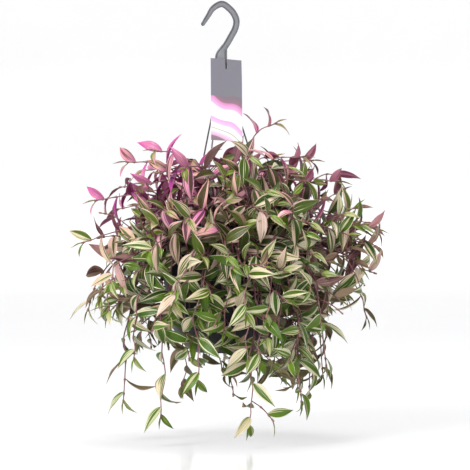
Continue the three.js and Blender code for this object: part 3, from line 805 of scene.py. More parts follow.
def fill_plant(stems, roots):
    """More leaves and side shoots on the solids' stems, and inner stems between them."""
    draw = make_draw(SEED + 1)
    inner = []
    for i in range(INNER_STEMS):
        turn = 2 * math.pi * ((i * GOLDEN) % 1)
        height = mix(INNER_HEIGHTS, ((i + 0.5) / INNER_STEMS) ** INNER_POWER)
        reach = mix(INNER_REACH, draw()) * between(RISING_REACH, height)
        inner.append(add_inner_stem(i + 1, turn, height, reach, roots))
    inner = [stem for stem in inner if stem]
    for stem in stems:
        add_more_leaves(stem, draw)
    for stem in inner:
        add_leaves(stem, draw)
    for stem in stems + inner:
        add_shoots(stem, draw)
    for i, (degrees, height, share) in enumerate(EDGE_STEMS):
        reach = share * between(RISING_REACH, height)
        stem = add_inner_stem(INNER_STEMS + i + 1, math.radians(degrees), height, reach, roots)
        if stem:
            add_leaves(stem, draw)
            add_shoots(stem, draw)
            inner.append(stem)
    return inner


def waver(stem):
    """Lets a grown stem turn a little at each node and meander, with its leaves and shoots."""
    way = stem.way
    end = way.points[-1]
    out = outward(end)
    sideways = np.array([-out[1], out[0], 0])

    def shift(back):
        zigzag = 2 * abs(back / ZIGZAG["step"] % 2 - 1) - 1
        swing = math.sin(2 * math.pi * back / MEANDER["length"] + end[2])
        aside = ZIGZAG["aside"] * zigzag + MEANDER["aside"] * swing
        aside *= smooth(*WAVER_FROM, way.length - back) * smooth(*WAVER_TO, back)
        return sideways * aside + out * abs(aside) * WAVER_OUT

    for leaf in stem.leaves:
        leaf.base = leaf.base + shift(leaf.back)
    for shoot in stem.shoots:
        moved = shift(shoot.back)
        shoot.way.points = shoot.way.points + moved
        for leaf in shoot.leaves:
            leaf.base = leaf.base + moved
    way.points = np.array([p + shift(way.length - s) for p, s in zip(way.points, way.lengths)])


def colour_stem(stem, draw):
    """Gives each leaf its share of cream, of pink and of youth, and the painted light through its underside.
    """
    blush = draw() < BLUSHING
    pale = draw()
    for leaf in stem.leaves:
        out = outwards(leaf.base)
        high = smooth(*PINK_HEIGHTS, leaf.base[2])
        left = smooth(*PINK_SIDES, leaf.base[0])
        # painted shade deep in the plant and in the hollow under the card, partly its own burgundy
        shaded_hollow = smooth(SHADED_HOLLOW_SIZE, SHADED_HOLLOW_SIZE / 2, np.linalg.norm(leaf.base - SHADED_HOLLOW))
        deep = max(smooth(*DEEP_SHADE, out) * high, shaded_hollow)
        pink = high * mix(PINK["leaf"], draw()) * mix(PINK["side"], left)
        pink += PINK["stray"] * draw() + PINK["deep"] * deep
        cream = CREAMY["least"] + CREAMY["high"] * high + CREAMY["leaf"] * draw() + CREAMY["stem"] * pale
        # painted shade takes cream away deep in the plant
        cream *= (1 - CREAMY["deep"] * deep) * (1 - CREAMY["shaded"] * smooth(*SHADED, out))
        # painted light shining through the underside, strongest high up and to the left
        painted_glow = high * mix(PAINTED_GLOW["side"], left) * mix(PAINTED_GLOW["leaf"], draw()) + PAINTED_GLOW["stray"] * draw()
        if blush:
            pink = BLUSH["least"] + BLUSH["high"] * high + BLUSH["leaf"] * draw()
            cream = mix(BLUSH["cream"], draw())
        young = YOUTH[leaf.order] if leaf.order < len(YOUTH) else 0.0
        leaf.tint = [min(1, cream), min(1, pink), young, min(1, painted_glow)]
        leaf.seed = draw()
        leaf.shape = [draw() for _ in range(6)]


# ---- Meshes ----
# A leaf's or tube's points are one at its start, rings round it, and one at its end. The rings of a
# leaf run over its top from edge to edge, and back underneath.
ACROSS = 6
ALONG = 12
OVER = np.linspace(-1, 1, ACROSS + 1)
RING = np.concatenate([OVER, OVER[-2:0:-1]])
RING_SIDE = np.concatenate([[0], np.ones(ACROSS - 1), [0], -np.ones(ACROSS - 1)])
EVEN = np.arange(1, ALONG) / ALONG
STATIONS = 0.6 * EVEN + 0.4 * (1 - np.cos(np.pi * EVEN)) / 2  # closer together at both ends
LAYER_FIELDS = {"FLOAT": "value", "FLOAT_VECTOR": "vector", "FLOAT_COLOR": "color"}


def ring_faces(rings, sides):
    faces = []
    last = 1 + (rings - 1) * sides
    for j in range(sides):
        after = (j + 1) % sides
        faces.append((0, 1 + after, 1 + j))
        for low in range(1, last, sides):
            faces.append((low + j, low + after, low + sides + after, low + sides + j))
        faces.append((last + j, last + after, last + sides))
    return faces


LEAF_FACES = ring_faces(ALONG - 1, len(RING))
LEAF_SLOTS = [int(j >= ACROSS) for j in range(len(RING)) for _ in range(ALONG)]


def joined(shapes):
    points, faces = [], []
    for more, corners in shapes:
        faces.extend(tuple(i + len(points) for i in face) for face in corners)
        points.extend(tuple(point) for point in more)
    return points, faces


def smooth_mesh(name, points, faces, materials):
    """A smooth mesh, brought from millimetres to metres."""
    mesh = bpy.data.meshes.new(name)
    mesh.from_pydata(np.asarray(points) * MM, [], faces)
    for material in materials:
        mesh.materials.append(material)
    mesh.polygons.foreach_set("use_smooth", [True] * len(faces))
    return mesh


def make_piece(shape, name, materials, slot, sharp, layers=(), indices=None):
    """A piece of the plant, with layers of values at its points: (name, kind, values)."""
    mesh = smooth_mesh(name, *shape, materials)
    if indices:
        mesh.polygons.foreach_set("material_index", indices)
    for layer, kind, values in layers:
        data = mesh.attributes.new(layer, kind, "POINT").data
        data.foreach_set(LAYER_FIELDS[kind], np.asarray(values, np.float32).ravel())
    mesh.set_sharp_from_angle(angle=math.radians(sharp))
    mesh.validate()
    piece = bpy.data.objects.new(name, mesh)
    bpy.context.scene.collection.objects.link(piece)
    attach(piece, "root")
    return piece


def leaf_points(leaf):
    fold, twist, bow, ripple, *phases = leaf.shape
    share = np.concatenate([[0], STATIONS, [1]])
    place, face = midrib(leaf, share)
    across = np.cross(face, leaf.along)
    across /= np.linalg.norm(across, axis=1)[:, None]
    turn = (mix(LEAF_TWIST, twist) * share)[:, None]
    cos, sin = np.cos(turn), np.sin(turn)
    across, face = across * cos + face * sin, face * cos - across * sin
    half = half_width(leaf, share) * (1 - TIP_DRAWN * share**4)
    place = place + across * (mix(LEAF_BOW, bow) * leaf.length * share**2)[:, None]
    half = half[1:-1, None]
    edge = np.abs(RING)
    folded = YOUNG_FOLD if leaf.order == 0 else mix(FOLDS, fold)
    curve = FOLD_CURVE["rise"] * np.sqrt(edge**2 + FOLD_CURVE["soft"]) - FOLD_CURVE["droop"] * edge**3
    phase = np.where(RING < 0, *phases)
    wave = np.sin(2 * np.pi * (RIPPLE_COUNT * STATIONS[:, None] + phase)) * np.sin(np.pi * STATIONS)[:, None]
    rise = folded * half * curve + mix(RIPPLES, ripple) * half * wave * edge**2
    rise += RING_SIDE * BLADE / 2 * (1 - BLADE_THINS * edge**2)
    rings = place[1:-1, None] + across[1:-1, None] * (RING * half)[..., None]
    rings = rings + face[1:-1, None] * rise[..., None]
    return np.vstack([place[:1], rings.reshape(-1, 3), place[-1:]])


def tube(points, radii, sides=SIDES["stem"]):
    """A closed tube along points, with its ends drawn to a point."""
    points = np.asarray(points)
    along = np.gradient(points, axis=0)
    along /= np.linalg.norm(along, axis=1)[:, None]
    side = unit(np.cross(along[0], [0.31, 0.87, 0.38]))  # any direction that no tube runs in
    rings = []
    angles = 2 * np.pi * np.arange(sides) / sides
    for place, ahead, radius in zip(points, along, radii):
        side = unit(side - ahead * side.dot(ahead))
        other = np.cross(ahead, side)
        rings.append(place + radius * (np.outer(np.cos(angles), side) + np.outer(np.sin(angles), other)))
    start = points[0] - along[0] * radii[0] * TUBE_TIP
    end = points[-1] + along[-1] * radii[-1] * TUBE_TIP
    return np.vstack([[start], *rings, [end]]), ring_faces(len(rings), sides)


def stem_tube(stem, seed):
    """A stem's own skin, swollen at its nodes, with a short sheath above each, and its values."""
    length = stem.way.length
    stations = np.linspace(0, length, max(4, int(length / STEM_RING)) + 1)
    nodes = np.array([length - spot[0] for spot in stem.spots])
    if len(nodes):
        beside = np.concatenate([nodes + off for off in RINGS_AT_NODE])
        stations = np.unique(np.clip(np.concatenate([stations, beside]), 0, length).round(2))
    points = np.array([stem.way.at(s) for s in stations])
    radii = np.interp(stations, [0, length], SHOOT_RADII if stem.root is None else STEM_RADII)
    past = stations[:, None] - nodes[None]
    swell = np.exp(-((past / NODE["width"]) ** 2)) * NODE["swell"]
    sheathed = (past > 0) & (past < NODE["sheath_length"])
    sheath = np.where(sheathed, NODE["sheath"] * (1 - past / NODE["sheath_length"]), 0)
    radii = radii + np.max(swell + sheath, axis=1, initial=0)
    near = np.max(np.exp(-((past / NODE["mark"]) ** 2)), axis=1, initial=0)
    if stem.root is not None:
        below = [stem.root - [0, 0, ROOT_DEPTH], stem.root - [0, 0, ROOT_DEPTH / 2]]
        points = np.vstack([below, points])
        radii = np.concatenate([[STEM_RADII[0]] * 2, radii])
        near = np.concatenate([[0, 0], near])
        stations = np.concatenate([[0, 0], stations])
    skin, faces = tube(points, radii)
    values = np.column_stack([near, stations / length, np.full(len(points), seed)])
    values = np.vstack([values[:1], np.repeat(values, SIDES["stem"], axis=0), values[-1:]])
    return skin, faces, values


def dress_stem(stem, name, draw, materials):
    """A stem with its shoots and all their leaves, as one piece."""
    shapes, indices, places, tints = [], [], [], []
    across = np.concatenate([[0], np.tile(RING, ALONG - 1), [0]])
    along = np.concatenate([[0], np.repeat(STATIONS, len(RING)), [1]])
    for part in [stem, *stem.shoots]:
        colour_stem(part, draw)
        points, faces, values = stem_tube(part, draw())
        shapes.append((points, faces))
        indices += [2] * len(faces)
        places.append(values)
        tints.append(np.zeros((len(points), 4)))
        for leaf in part.leaves:
            shapes.append((leaf_points(leaf), LEAF_FACES))
            indices += LEAF_SLOTS
            places.append(np.column_stack([across, along, np.full(len(along), leaf.seed)]))
            tints.append(np.tile(leaf.tint, (len(along), 1)))
    layers = [("leaf", "FLOAT_VECTOR", np.vstack(places)), ("tint", "FLOAT_COLOR", np.vstack(tints))]
    return make_piece(joined(shapes), name, materials, "foliage", SHARP["foliage"], layers, indices)


# ---- Materials ----
class Value:
    """A number or colour that varies over a surface. Arithmetic on it adds the material's nodes."""

    def __init__(self, surface, socket):
        self.surface = surface
        self.socket = socket

    def math(self, operation, other=0.0):
        return self.surface.node("ShaderNodeMath", {0: self, 1: other}, operation=operation)

    def __add__(self, other):
        return self.math("ADD", other)

    def __sub__(self, other):
        return self.math("SUBTRACT", other)

    def __mul__(self, other):
        return self.math("MULTIPLY", other)

    def ranging(self, low, high):
        """Goes from low to high as this value goes from 0 to 1."""
        return self * (high - low) + low

    def step(self, low, high):
        """Goes smoothly from 0 to 1 as this value goes from low to high, whichever is larger."""
        inputs = {"Value": self, "From Min": low, "From Max": high}
        return self.surface.node("ShaderNodeMapRange", inputs, interpolation_type="SMOOTHSTEP")

    def split(self):
        parts = self.surface.tree.nodes.new("ShaderNodeSeparateXYZ")
        self.surface.feed(parts.inputs[0], self)
        return [Value(self.surface, part) for part in parts.outputs]


class Surface:
    """A material, and short calls that add nodes to it."""

    def __init__(self, name, roughness, specular=0.5):
        self.material = bpy.data.materials.new(name)
        self.material.use_nodes = True
        self.tree = self.material.node_tree
        self.shader = self.tree.nodes["Principled BSDF"].inputs
        self.shader["Roughness"].default_value = roughness
        self.shader["Specular IOR Level"].default_value = specular

    def feed(self, socket, value):
        """Links a socket to a value, or sets it to a number or to a colour."""
        if isinstance(value, Value):
            self.tree.links.new(value.socket, socket)
        elif isinstance(value, tuple):
            socket.default_value = (*value, 1)
        else:
            socket.default_value = value

    def node(self, kind, inputs, output=0, **settings):
        made = self.tree.nodes.new(kind)
        for name, value in settings.items():
            setattr(made, name, value)
        for key, value in inputs.items():
            self.feed(made.inputs[key], value)
        return Value(self, made.outputs[output])

    def layer(self, name, output="Vector"):
        return self.node("ShaderNodeAttribute", {}, output, attribute_name=name)

    def place(self):
        return self.node("ShaderNodeTexCoord", {}, "Object")

    def above(self, heights):
        """0 for what is below the first of two heights and 1 for what is above the second."""
        return self.place().split()[2].step(heights[0] * MM, heights[1] * MM)

    def noise(self, where, scale, detail, roughness=0.5):
        inputs = {"Vector": where, "Scale": scale, "Detail": detail, "Roughness": roughness}
        return self.node("ShaderNodeTexNoise", inputs)

    def leaf_noise(self, x, y, z, detail):
        return self.noise(self.node("ShaderNodeCombineXYZ", {0: x, 1: y, 2: z}), 1, detail)

    def blend(self, share, first, second):
        """From the first colour to the second; a mix node has its colours at sockets 6 and 7."""
        return self.node("ShaderNodeMix", {0: share, 6: first, 7: second}, 2, data_type="RGBA")

    def coats(self, colour, *coats):
        """A colour under coats of other ones, each as (share, colour)."""
        for share, coat in coats:
            colour = self.blend(share, colour, coat)
        return colour

    def bump(self, height, strength, distance):
        inputs = {"Height": height, "Strength": strength, "Distance": distance}
        self.feed(self.shader["Normal"], self.node("ShaderNodeBump", inputs))

    def paint(self, colour):
        self.feed(self.shader["Base Color"], colour)
        return self.material


def stripes(skin):
    """The stripes along a leaf: how pale, how silvery, and the fine veins. Each leaf has its own."""
    across, along, seed = skin.layer("leaf").split()
    cream, pink, young = skin.layer("tint", "Color").split()
    shift = seed * STRIPE_SHIFT
    slow = along * STRIPES["along"]
    broad = skin.leaf_noise(across * STRIPES["broad"] + shift, slow, shift, 0)
    fine = skin.leaf_noise(across * STRIPES["fine"] + shift, slow, seed, 1)
    edge = across.math("ABSOLUTE")
    band = fine * STRIPE_SHARES["fine"] + broad * STRIPE_SHARES["broad"]
    band = edge.step(*MARGIN_STEP) * STRIPE_SHARES["margin"] + band
    over = band - cream.ranging(*PALE_LEVELS)
    return SimpleNamespace(
        along=along,
        seed=seed,
        pink=pink,
        young=young,
        # painted light shining through the leaf
        painted_glow=skin.layer("tint", "Alpha"),
        pale=over.step(*PALE_STEP),
        silver=over.step(*SILVER_STEP),
        veins=skin.leaf_noise(across * STRIPES["veins"], slow, seed, 0),
        rib=edge.step(*RIB_STEP),
    )


def leaf_top():
    """Green with silvery, cream or rosy stripes, rosier at the base and greener while young."""
    skin = Surface("leaf_top", 0.3, specular=0.22)
    leaf = stripes(skin)
    warm, rose, creamy = ((leaf.seed * draw).math("FRACT") for draw in SEED_DRAWS)
    base = leaf.along.step(*TOP_STEPS["base"]) * leaf.pink
    streaks = leaf.veins.step(*TOP_STEPS["streaks"]) * TOP_SHARES["streaks"]
    green = skin.coats(
        GREEN_DARK,
        (leaf.veins.step(*TOP_STEPS["mottled"]), GREEN),
        (warm, GREEN_WARM),
        (skin.above(FRESH_HEIGHTS).ranging(TOP_SHARES["fresh"], 0), GREEN_FRESH),
        (leaf.silver * TOP_SHARES["silver"], GREEN_SILVER),
        # plum where a leaf is pink, and so where painted shade lies deep in the plant
        (leaf.pink.step(*TOP_STEPS["plum"]), PLUM),
    )
    rosy = skin.coats(SALMON, (rose, ROSE), (base, MAGENTA))
    cream = skin.blend(creamy.step(*TOP_STEPS["warm"]), CREAM, CREAM_WARM)
    pale = skin.coats(cream, (leaf.pink.step(*TOP_STEPS["rosy"]), rosy), (streaks, green))
    colour = skin.coats(
        green,
        (leaf.pale, pale),
        (leaf.rib * TOP_SHARES["rib"], GREEN_SILVER),
        # a magenta flush where light is painted shining through the leaf
        (leaf.painted_glow.step(*TOP_STEPS["glow_flush"]) * TOP_SHARES["glow_flush"], MAGENTA),
        (leaf.young * leaf.along.step(*TOP_STEPS["young"]), GREEN_YOUNG),
    )
    skin.bump(leaf.veins, strength=0.5, distance=0.0004)
    return skin.paint(colour)


def leaf_under():
    """Maroon high up, lit to magenta by painted light shining through, and green low down, with the stripes
    showing through.
    """
    skin = Surface("leaf_under", 0.5, specular=0.25)
    leaf = stripes(skin)
    dusky = skin.blend(skin.above(PINK_HEIGHTS), DUSKY, MAUVE)
    colour = skin.coats(
        GREEN_UNDER,
        (skin.above(FRESH_HEIGHTS), MAROON),
        # painted light shining through the leaf turns it magenta
        (leaf.painted_glow, MAGENTA_DEEP),
        (leaf.pale * UNDER_SHARES["pale"], skin.blend(leaf.painted_glow, dusky, MAGENTA)),
        (leaf.silver * UNDER_SHARES["silver"], dusky),
        (leaf.rib * UNDER_SHARES["rib"], dusky),
        (leaf.young * UNDER_SHARES["young"], GREEN_YOUNG),
    )
    skin.bump(leaf.veins, strength=0.6, distance=0.0005)
    return skin.paint(colour)


def stem_skin():
    skin = Surface("stem_skin", 0.45)
    near, along, _ = skin.layer("leaf").split()
    grain = skin.noise(skin.place(), 420, 2)
    colour = skin.coats(
        STEM_PURPLE,
        (grain.step(*STEM_STEPS["brown"]), STEM_BROWN),
        (along.step(*STEM_STEPS["tender"]), STEM_TENDER),
        (near * STEM_NODE_SHARE, STEM_NODE),
    )
    skin.bump(grain, strength=0.3, distance=0.0004)
    return skin.paint(colour)


def plastic(name, dark, light, roughness, specular=0.5):
    """Moulded plastic with a fine grain and faint flow marks; a band's web takes painted light and its rims
    painted shade.
    """
    skin = Surface(name, roughness, specular)
    web = skin.layer("web", "Fac")
    flow = skin.noise(skin.place(), 35, 3)
    grain = skin.noise(skin.place(), 900, 2)
    skin.bump(grain, strength=0.25, distance=0.0002)
    wear = PLASTIC["wear"]
    skin.feed(skin.shader["Roughness"], grain.ranging(roughness - wear, roughness + wear))
    # painted light on a band's web; the rims keep the darker colour as painted shade
    share = flow.step(*PLASTIC["step"]) * PLASTIC["flow"] + web * PLASTIC["web"]
    return skin.paint(skin.blend(share, dark, light))


def soil_crumbs():
    skin = Surface("soil_crumbs", 0.95)
    clods = skin.noise(skin.place(), 160, 6, 0.7)
    flecks = skin.noise(skin.place(), 700, 2)
    light, bright = clods.step(*SOIL_STEPS["clods"]), flecks.step(*SOIL_STEPS["flecks"])
    skin.bump(clods, strength=0.8, distance=0.002)
    return skin.paint(skin.coats(SOIL_DARK, (light, SOIL_LIGHT), (bright, SOIL_FLECK)))


def card_print():
    """A plain grey-violet head over soft waves of pink, white and sage; the back is bare board."""
    skin = Surface("card_print", 0.35)
    across, front, down = skin.layer("leaf").split()
    wave = (across * WAVE["across"] + down * WAVE["down"]).math("SINE")
    ripple = (across * RIPPLE["across"] + RIPPLE["shift"]).math("SINE")
    level = wave * WAVE["height"] + ripple * RIPPLE["height"]
    level = level + across * WAVES_SHIFT["across"] + down + WAVES_SHIFT["down"]
    head = (down + ripple * RIPPLE["head"]).step(CARD_HEAD_END + HEAD_SOFT, CARD_HEAD_END)
    waves = skin.tree.nodes.new("ShaderNodeValToRGB")
    skin.feed(waves.inputs[0], level)
    ramp = waves.color_ramp
    while len(ramp.elements) > 1:
        ramp.elements.remove(ramp.elements[-1])
    for place, colour in CARD_WAVES:
        ramp.elements.new(place).color = (*colour, 1)
    ramp.elements.remove(ramp.elements[0])
    fibre = skin.noise(skin.place(), 1600, 2)
    printed = skin.coats(Value(skin, waves.outputs[0]), (head, CARD_HEAD), (fibre * CARD_WORN, BOARD))
    skin.bump(fibre, strength=0.1, distance=0.0001)
    return skin.paint(skin.blend(front.step(*CARD_SIDES), BOARD, printed))


# ---- Hanger ----
def band_section(width):
    """Across the band: a rounded rim on each side of a thinner web, as (across, depth)."""
    half, deep = width / 2, BAND_DEPTH / 2
    inner = half - min(RIM, width * RIM_SHARE)
    quarter = [(half, 0)]
    for cos, sin in quarter_turn(4):
        quarter.append((half - RIM_ROUNDING * (1 - cos), deep - RIM_ROUNDING * (1 - sin)))
    quarter += [(inner + across, deep - down) for across, down in RIM_SLOPE]
    quarter.append((0, deep - GROOVE_DEPTH))
    over = quarter + [(-across, depth) for across, depth in quarter[-2::-1]]
    return np.array(over + [(across, -depth) for across, depth in over[-2:0:-1]])


# points on a band's web, which take painted light
def is_lit_web(section):
    across, depth = np.abs(section).T
    return (depth < BAND_DEPTH / 2 - WEB_INSET[1]) & (across < across.max() - WEB_INSET[0])


def make_band():
    """The hook's band from its rounded tip to the neck, and which of its points are on the web, which takes
    painted light.
    """
    places = [(0, -TIP_WIDTH / 2 * cos, max(TIP_END, sin)) for cos, sin in quarter_turn(TIP_STEPS)[:-1]]
    places += [(k / BAND_STEPS, 0, 1) for k in range(BAND_STEPS + 1)]
    line = Way([(x, 0, z) for x, z in HOOK_LINE], LINE_STEPS["hook"], CENTRIPETAL)
    rings, lit_webs = [], []
    for share, shift, scale in places:
        at = share * line.length
        ahead = unit(line.at(at + BAND_SPAN) - line.at(at - BAND_SPAN))
        across = np.array([-ahead[2], 0, ahead[0]])
        section = band_section(mix((TIP_WIDTH, BAND_WIDTH), min(1, share * WIDENING))) * scale
        middle = line.at(at) + ahead * shift
        rings.append(middle + np.outer(section[:, 0], across) + np.outer(section[:, 1], [0, 1, 0]))
        lit_webs.append(is_lit_web(section) & (scale == 1))
    points = np.vstack([rings[0].mean(0)[None], *rings, rings[-1].mean(0)[None]])
    faces = [face[::-1] for face in ring_faces(len(rings), len(rings[0]))]
    return (points, faces), np.concatenate([[0], *lit_webs, [1]])


def slab(outline, depth, rounding):
    """An outline of (x, z) points made depth thick, with its edges rounded."""
    model = bmesh.new()
    front = [model.verts.new((x, -depth / 2, z)) for x, z in outline]
    face = model.faces.new(front)
    grown = bmesh.ops.extrude_face_region(model, geom=[face])["geom"]
    moved = [item for item in grown if isinstance(item, bmesh.types.BMVert)]
    bmesh.ops.translate(model, verts=moved, vec=(0, depth, 0))
    bmesh.ops.bevel(model, geom=model.edges[:], offset=rounding, segments=3, profile=0.5, affect="EDGES")
    bmesh.ops.recalc_face_normals(model, faces=model.faces[:])
    model.verts.index_update()
    points = [tuple(v.co) for v in model.verts]
    faces = [tuple(v.index for v in f.verts) for f in model.faces]
    model.free()
    return points, faces


def make_neck():
    """The neck's thin web with a raised rim down each side, and which points are on the web, which takes
    painted light.
    """
    rims = []
    for side in NECK_RIMS:
        way = Way([(x, 0, z) for x, z in side], LINE_STEPS["neck_rim"], CENTRIPETAL)
        rims.append(tube(way.points, np.full(len(way.points), NECK_DEPTH / 2), SIDES["neck_rim"]))
    web = slab(NECK, NECK_DEPTH * NECK_WEB["share"], NECK_WEB["rounding"])
    neck = joined([web, *rims])
    return neck, [i < len(web[0]) for i in range(len(neck[0]))]


def make_block(rods):
    """The rounded block at the neck's foot, with a socket for each rod."""
    half, low, high = BLOCK["width"] / 2, BLOCK["bottom"], BLOCK["top"]
    outline = [(-half, low), (half, low), (half, high), (-half, high)]
    sockets = [turned_on(rod, SOCKET, SIDES["socket"]) for rod in rods]
    return joined([slab(outline, BLOCK["depth"], BLOCK["rounding"]), *sockets])


def turned_on(rod, profile, sides):
    """A round shape about a rod's line, from (distance along it, radius) points."""
    return tube([rod.top + rod.along * at for at, _ in profile], [radius for _, radius in profile], sides)


def make_rod(rod):
    """A round rod with a collar on the lip and a barb under it."""
    length = float(np.linalg.norm(rod.through - rod.top))
    under = length + LIP_THICKNESS + BARB_DROP
    profile = [(length * k / ROD_STEPS, ROD_RADIUS) for k in range(ROD_STEPS)]
    profile += [(length + at, radius) for at, radius in COLLAR]
    profile += [(under + at, radius) for at, radius in BARB]
    return turned_on(rod, profile, SIDES["rod"])


# ---- Pot, soil and card ----
def lathe(profile, steps):
    """A closed profile of (radius, z) points turned about the pot's axis; its ends lie on the axis."""
    points, faces, rows = [], [], []
    for radius, z in profile:
        if radius < 1e-6:
            rows.append([len(points)] * steps)
            points.append((0, 0, z))
        else:
            rows.append(list(range(len(points), len(points) + steps)))
            points += [tuple(around(2 * math.pi * k / steps, radius, z)) for k in range(steps)]
    for low, high in zip(rows, rows[1:]):
        for k in range(steps):
            after = (k + 1) % steps
            faces.append(tuple(dict.fromkeys((low[k], low[after], high[after], high[k]))))
    return points, faces


def make_pot():
    """A bowl with a rolled lip, a faint mould ring round its side and a recessed base."""
    side = [(radius, -depth) for radius, depth in POT_SIDE]
    side.append((BASE_RADIUS + BASE_CORNER[0], BASE_CORNER[1] - POT_DEPTH))
    outer = []
    for radius, height in spline(side, np.arange(SIDE_STEPS + 1) / SIDE_STEPS, CENTRIPETAL):
        off_ring = (height + MOULD_RING["depth"]) / MOULD_RING["width"]
        outer.append((radius - MOULD_RING["groove"] * math.exp(-(off_ring**2)), height))
    inner = [(radius - WALL, height + WALL_LIFT * WALL) for radius, height in outer[2:-2]]
    recess = FOOT["height"] - POT_DEPTH
    foot = [(0, recess), (FOOT["radius"], recess), (FOOT["ring"], -POT_DEPTH), (BASE_RADIUS, -POT_DEPTH)]
    lip = [(LIP_RADIUS - inwards, -down) for inwards, down in LIP_PROFILE]
    for cos, sin in quarter_turn(5):
        lip.append((LIP_RADIUS - LIP_ROUNDING * (1 - cos), -LIP_ROUNDING * (1 - sin)))
    mouth = POT_SIDE[0][0] - WALL
    lip += [(mouth + MOUTH_ROUNDING, 0), (mouth, -MOUTH_ROUNDING)]
    floor = [(BASE_RADIUS - WALL, FLOOR - POT_DEPTH + 2), (BASE_RADIUS - 2 * WALL, FLOOR - POT_DEPTH)]
    profile = [*foot, *outer[::-1], *lip, *inner, *floor, (0, FLOOR - POT_DEPTH)]
    return lathe([(radius, height + LIP_Z) for radius, height in profile], SIDES["pot"])


def make_soil():
    """Crumbly soil, a little heaped, down to near the pot's floor."""
    inwards = WALL + 2 * GAP
    edge = pot_radius(SOIL_Z) - inwards
    bottom = 2 * FLOOR - POT_DEPTH
    sides = [(0, bottom), (BASE_RADIUS - inwards, bottom)]
    sides += [(radius - inwards, FLOOR - depth) for radius, depth in POT_SIDE[::-1] if depth > SOIL_DROP]
    top = []
    for share in 1 - np.arange(SOIL_RINGS + 1) / SOIL_RINGS:
        heap = SOIL_HEAP * (1 - share * share)
        worn = SOIL_WORN["depth"] * smooth(SOIL_WORN["from"], 1, share)
        top.append((edge * share, heap - worn - SOIL_DROP))
    points, faces = lathe([(radius, height + LIP_Z) for radius, height in sides + top], SIDES["soil"])
    bumpy = []
    for x, y, z in points:
        if z > SOIL_Z - CRUMBS["depth"]:
            crumbs = noise.fractal(Vector((x, y, 0)) * CRUMBS["scale"], *CRUMB_NOISE)
            z += CRUMBS["height"] * crumbs * smooth(edge, edge - CRUMBS["fade"], math.hypot(x, y))
        bumpy.append((x, y, z))
    return bumpy, faces


def make_card():
    """A thin bent card with a slit down from the middle of its top edge, and its points' values."""
    slit = SLIT["width"] / 2
    columns = np.unique([*np.linspace(-0.5, 0.5, CARD_GRID[0]) * CARD["width"], -slit, slit])
    rows = -np.unique([*np.linspace(0, 1, CARD_GRID[1]) * CARD["height"], SLIT["depth"]])
    points, values = [], []
    for side in (0, 1):
        for z in rows:
            for x in columns:
                across, down = x / CARD["width"], -z / CARD["height"]
                bulge = -CARD_BULGE * math.cos(math.pi * across) * math.sin(math.pi * down)
                flap = smooth(-CARD_FLAP["height"], 0, z) * smooth(0, CARD_FLAP["width"], x)
                y = side * CARD["thickness"] + CAD_CARD_THICKNESS / 2 + bulge + CARD_FLAP["lift"] * flap
                points.append(CARD_PLACE @ Vector((x, y, z)))
                values.append((across + 0.5, 1 - side, down))
    wide, behind = len(columns), len(columns) * len(rows)
    faces, edges = [], {}
    for i in range(len(rows) - 1):
        for j in range(wide - 1):
            middle = (columns[j] + columns[j + 1]) / 2
            if abs(middle) < slit and rows[i + 1] >= -SLIT["depth"]:
                continue
            corner = i * wide + j
            corners = [corner, corner + 1, corner + wide + 1, corner + wide]
            faces += [tuple(corners[::-1]), tuple(c + behind for c in corners)]
            edges.update(dict.fromkeys(zip(corners, corners[1:] + corners[:1])))
    faces += [(a, b, b + behind, a + behind) for a, b in edges if (b, a) not in edges]
    used = sorted({i for face in faces for i in face})
    number = {old: new for new, old in enumerate(used)}
    faces = [tuple(number[i] for i in face) for face in faces]
    return ([points[i] for i in used], faces), [values[i] for i in used]


# ---- The pieces ----
def build_hanger(rods):
    slot, sharp = "hanger_plastic", SHARP["hanger"]
    # darker rims as painted shade, lighter web as painted light
    grey = [plastic(slot, HANGER_RIM_SHADE, HANGER_WEB_LIT, 0.38)]
    shape, web = make_band()
    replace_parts(make_piece(shape, "hook_band", grey, slot, sharp, [("web", "FLOAT", web)]), "hook")
    shape, web = make_neck()
    make_piece(shape, "hook_neck", grey, slot, sharp, [("web", "FLOAT", web)])
    make_piece(make_block(rods), "hook_block", grey, slot, sharp)
    for i, rod in enumerate(rods):
        piece = make_piece(make_rod(rod), f"rod_{i + 1}", grey, slot, SHARP["rod"])
        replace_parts(piece, f"hanger_rod_{i + 1}")


def build_pot():
    black = plastic("pot_plastic", POT_DARK, POT_LIGHT, 0.45, specular=0.3)
    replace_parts(make_piece(make_pot(), "bowl", [black], "pot_plastic", SHARP["pot"]), "pot")
    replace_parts(make_piece(make_soil(), "soil_heap", [soil_crumbs()], "soil", SHARP["soil"]), "soil")


def build_card():
    shape, values = make_card()
    layers = [("leaf", "FLOAT_VECTOR", values)]
    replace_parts(make_piece(shape, "printed_card", [card_print()], "card", SHARP["card"], layers), "card_tag")


def build_foliage(stems, inner):
    """Dresses the solids' stems, which these pieces replace, and then the inner ones."""
    foliage = [leaf_top(), leaf_under(), stem_skin()]
    draw = make_draw(SEED + 2)
    for stem in stems:
        piece = dress_stem(stem, stem.name.replace("leafy", "dressed"), draw, foliage)
        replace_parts(piece, stem.name)
    for stem in inner:
        dress_stem(stem, stem.name, draw, foliage)


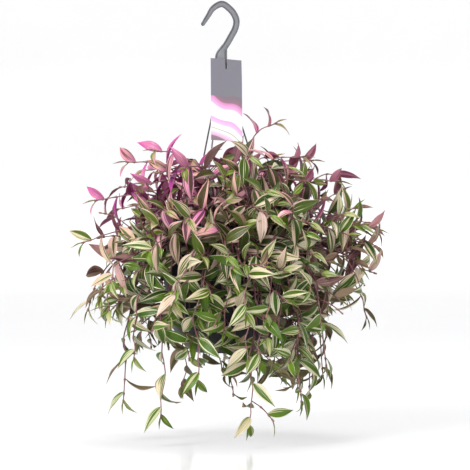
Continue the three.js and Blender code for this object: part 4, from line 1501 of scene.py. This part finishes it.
# ---- Floor, light and camera ----
def build_stage():
    """A pale floor that curves up into a wall all round."""
    profile = [(STAGE_RADIUS * k / STAGE_STEPS, STAGE_Z) for k in range(STAGE_STEPS + 1)]
    for cos, sin in quarter_turn(STAGE_STEPS)[1:]:
        profile.append((STAGE_RADIUS + WALL_CURVE * sin, STAGE_Z + WALL_CURVE * (1 - cos)))
    profile.append((STAGE_RADIUS + WALL_CURVE, STAGE_Z + WALL_HEIGHT))
    points, faces = lathe(profile, SIDES["stage"])
    skin = Surface("stage_white", 0.14)
    skin.feed(skin.shader["Emission Color"], WHITE)
    spread = skin.node("ShaderNodeVectorMath", {0: skin.place()}, "Value", operation="LENGTH")
    skin.feed(skin.shader["Emission Strength"], spread.step(*GLOW_RADII) * STAGE_GLOW)
    paint = skin.paint(skin.blend(skin.noise(skin.place(), 2, 1), STAGE_WHITE, STAGE_GREY))
    mesh = smooth_mesh("stage_floor", points, [face[::-1] for face in faces], [paint])
    floor = bpy.data.objects.new("stage_floor", mesh)
    bpy.context.scene.collection.objects.link(floor)


def aim(thing, place):
    thing.location = place
    thing.rotation_euler = (Vector(AIM) - Vector(place)).to_track_quat("-Z", "Y").to_euler()
    bpy.context.scene.collection.objects.link(thing)


def build_light():
    world = bpy.data.worlds.new("studio")
    bpy.context.scene.world = world
    world.use_nodes = True
    sky = world.node_tree.nodes["Background"].inputs
    sky["Color"].default_value = (*WHITE, 1)
    sky["Strength"].default_value = SKY
    for name, place, size, power in LAMPS:
        data = bpy.data.lights.new(name, "AREA")
        data.shape = "SQUARE"
        data.size = size
        data.energy = power
        aim(bpy.data.objects.new(name, data), place)


def build_camera():
    data = bpy.data.cameras.new("camera")
    data.sensor_width = CAMERA_SENSOR
    data.lens = CAMERA_SENSOR * CAMERA_DISTANCE / FRAME_WIDTH
    data.clip_end = CAMERA_REACH
    camera = bpy.data.objects.new("camera", data)
    tilt = math.radians(CAMERA_TILT)
    aim(camera, Vector(AIM) + Vector((0, -math.cos(tilt), math.sin(tilt))) * CAMERA_DISTANCE)
    bpy.context.scene.camera = camera
    bpy.context.scene.view_settings.view_transform = "Standard"


# ---- The scene ----
rods = place_rods()
stand_hanger(rods)
stems, roots = grow_plant()
inner = fill_plant(stems, roots)
for stem in stems + inner:
    waver(stem)
build_hanger(rods)
build_pot()
build_card()
build_foliage(stems, inner)
build_stage()
build_light()
build_camera()
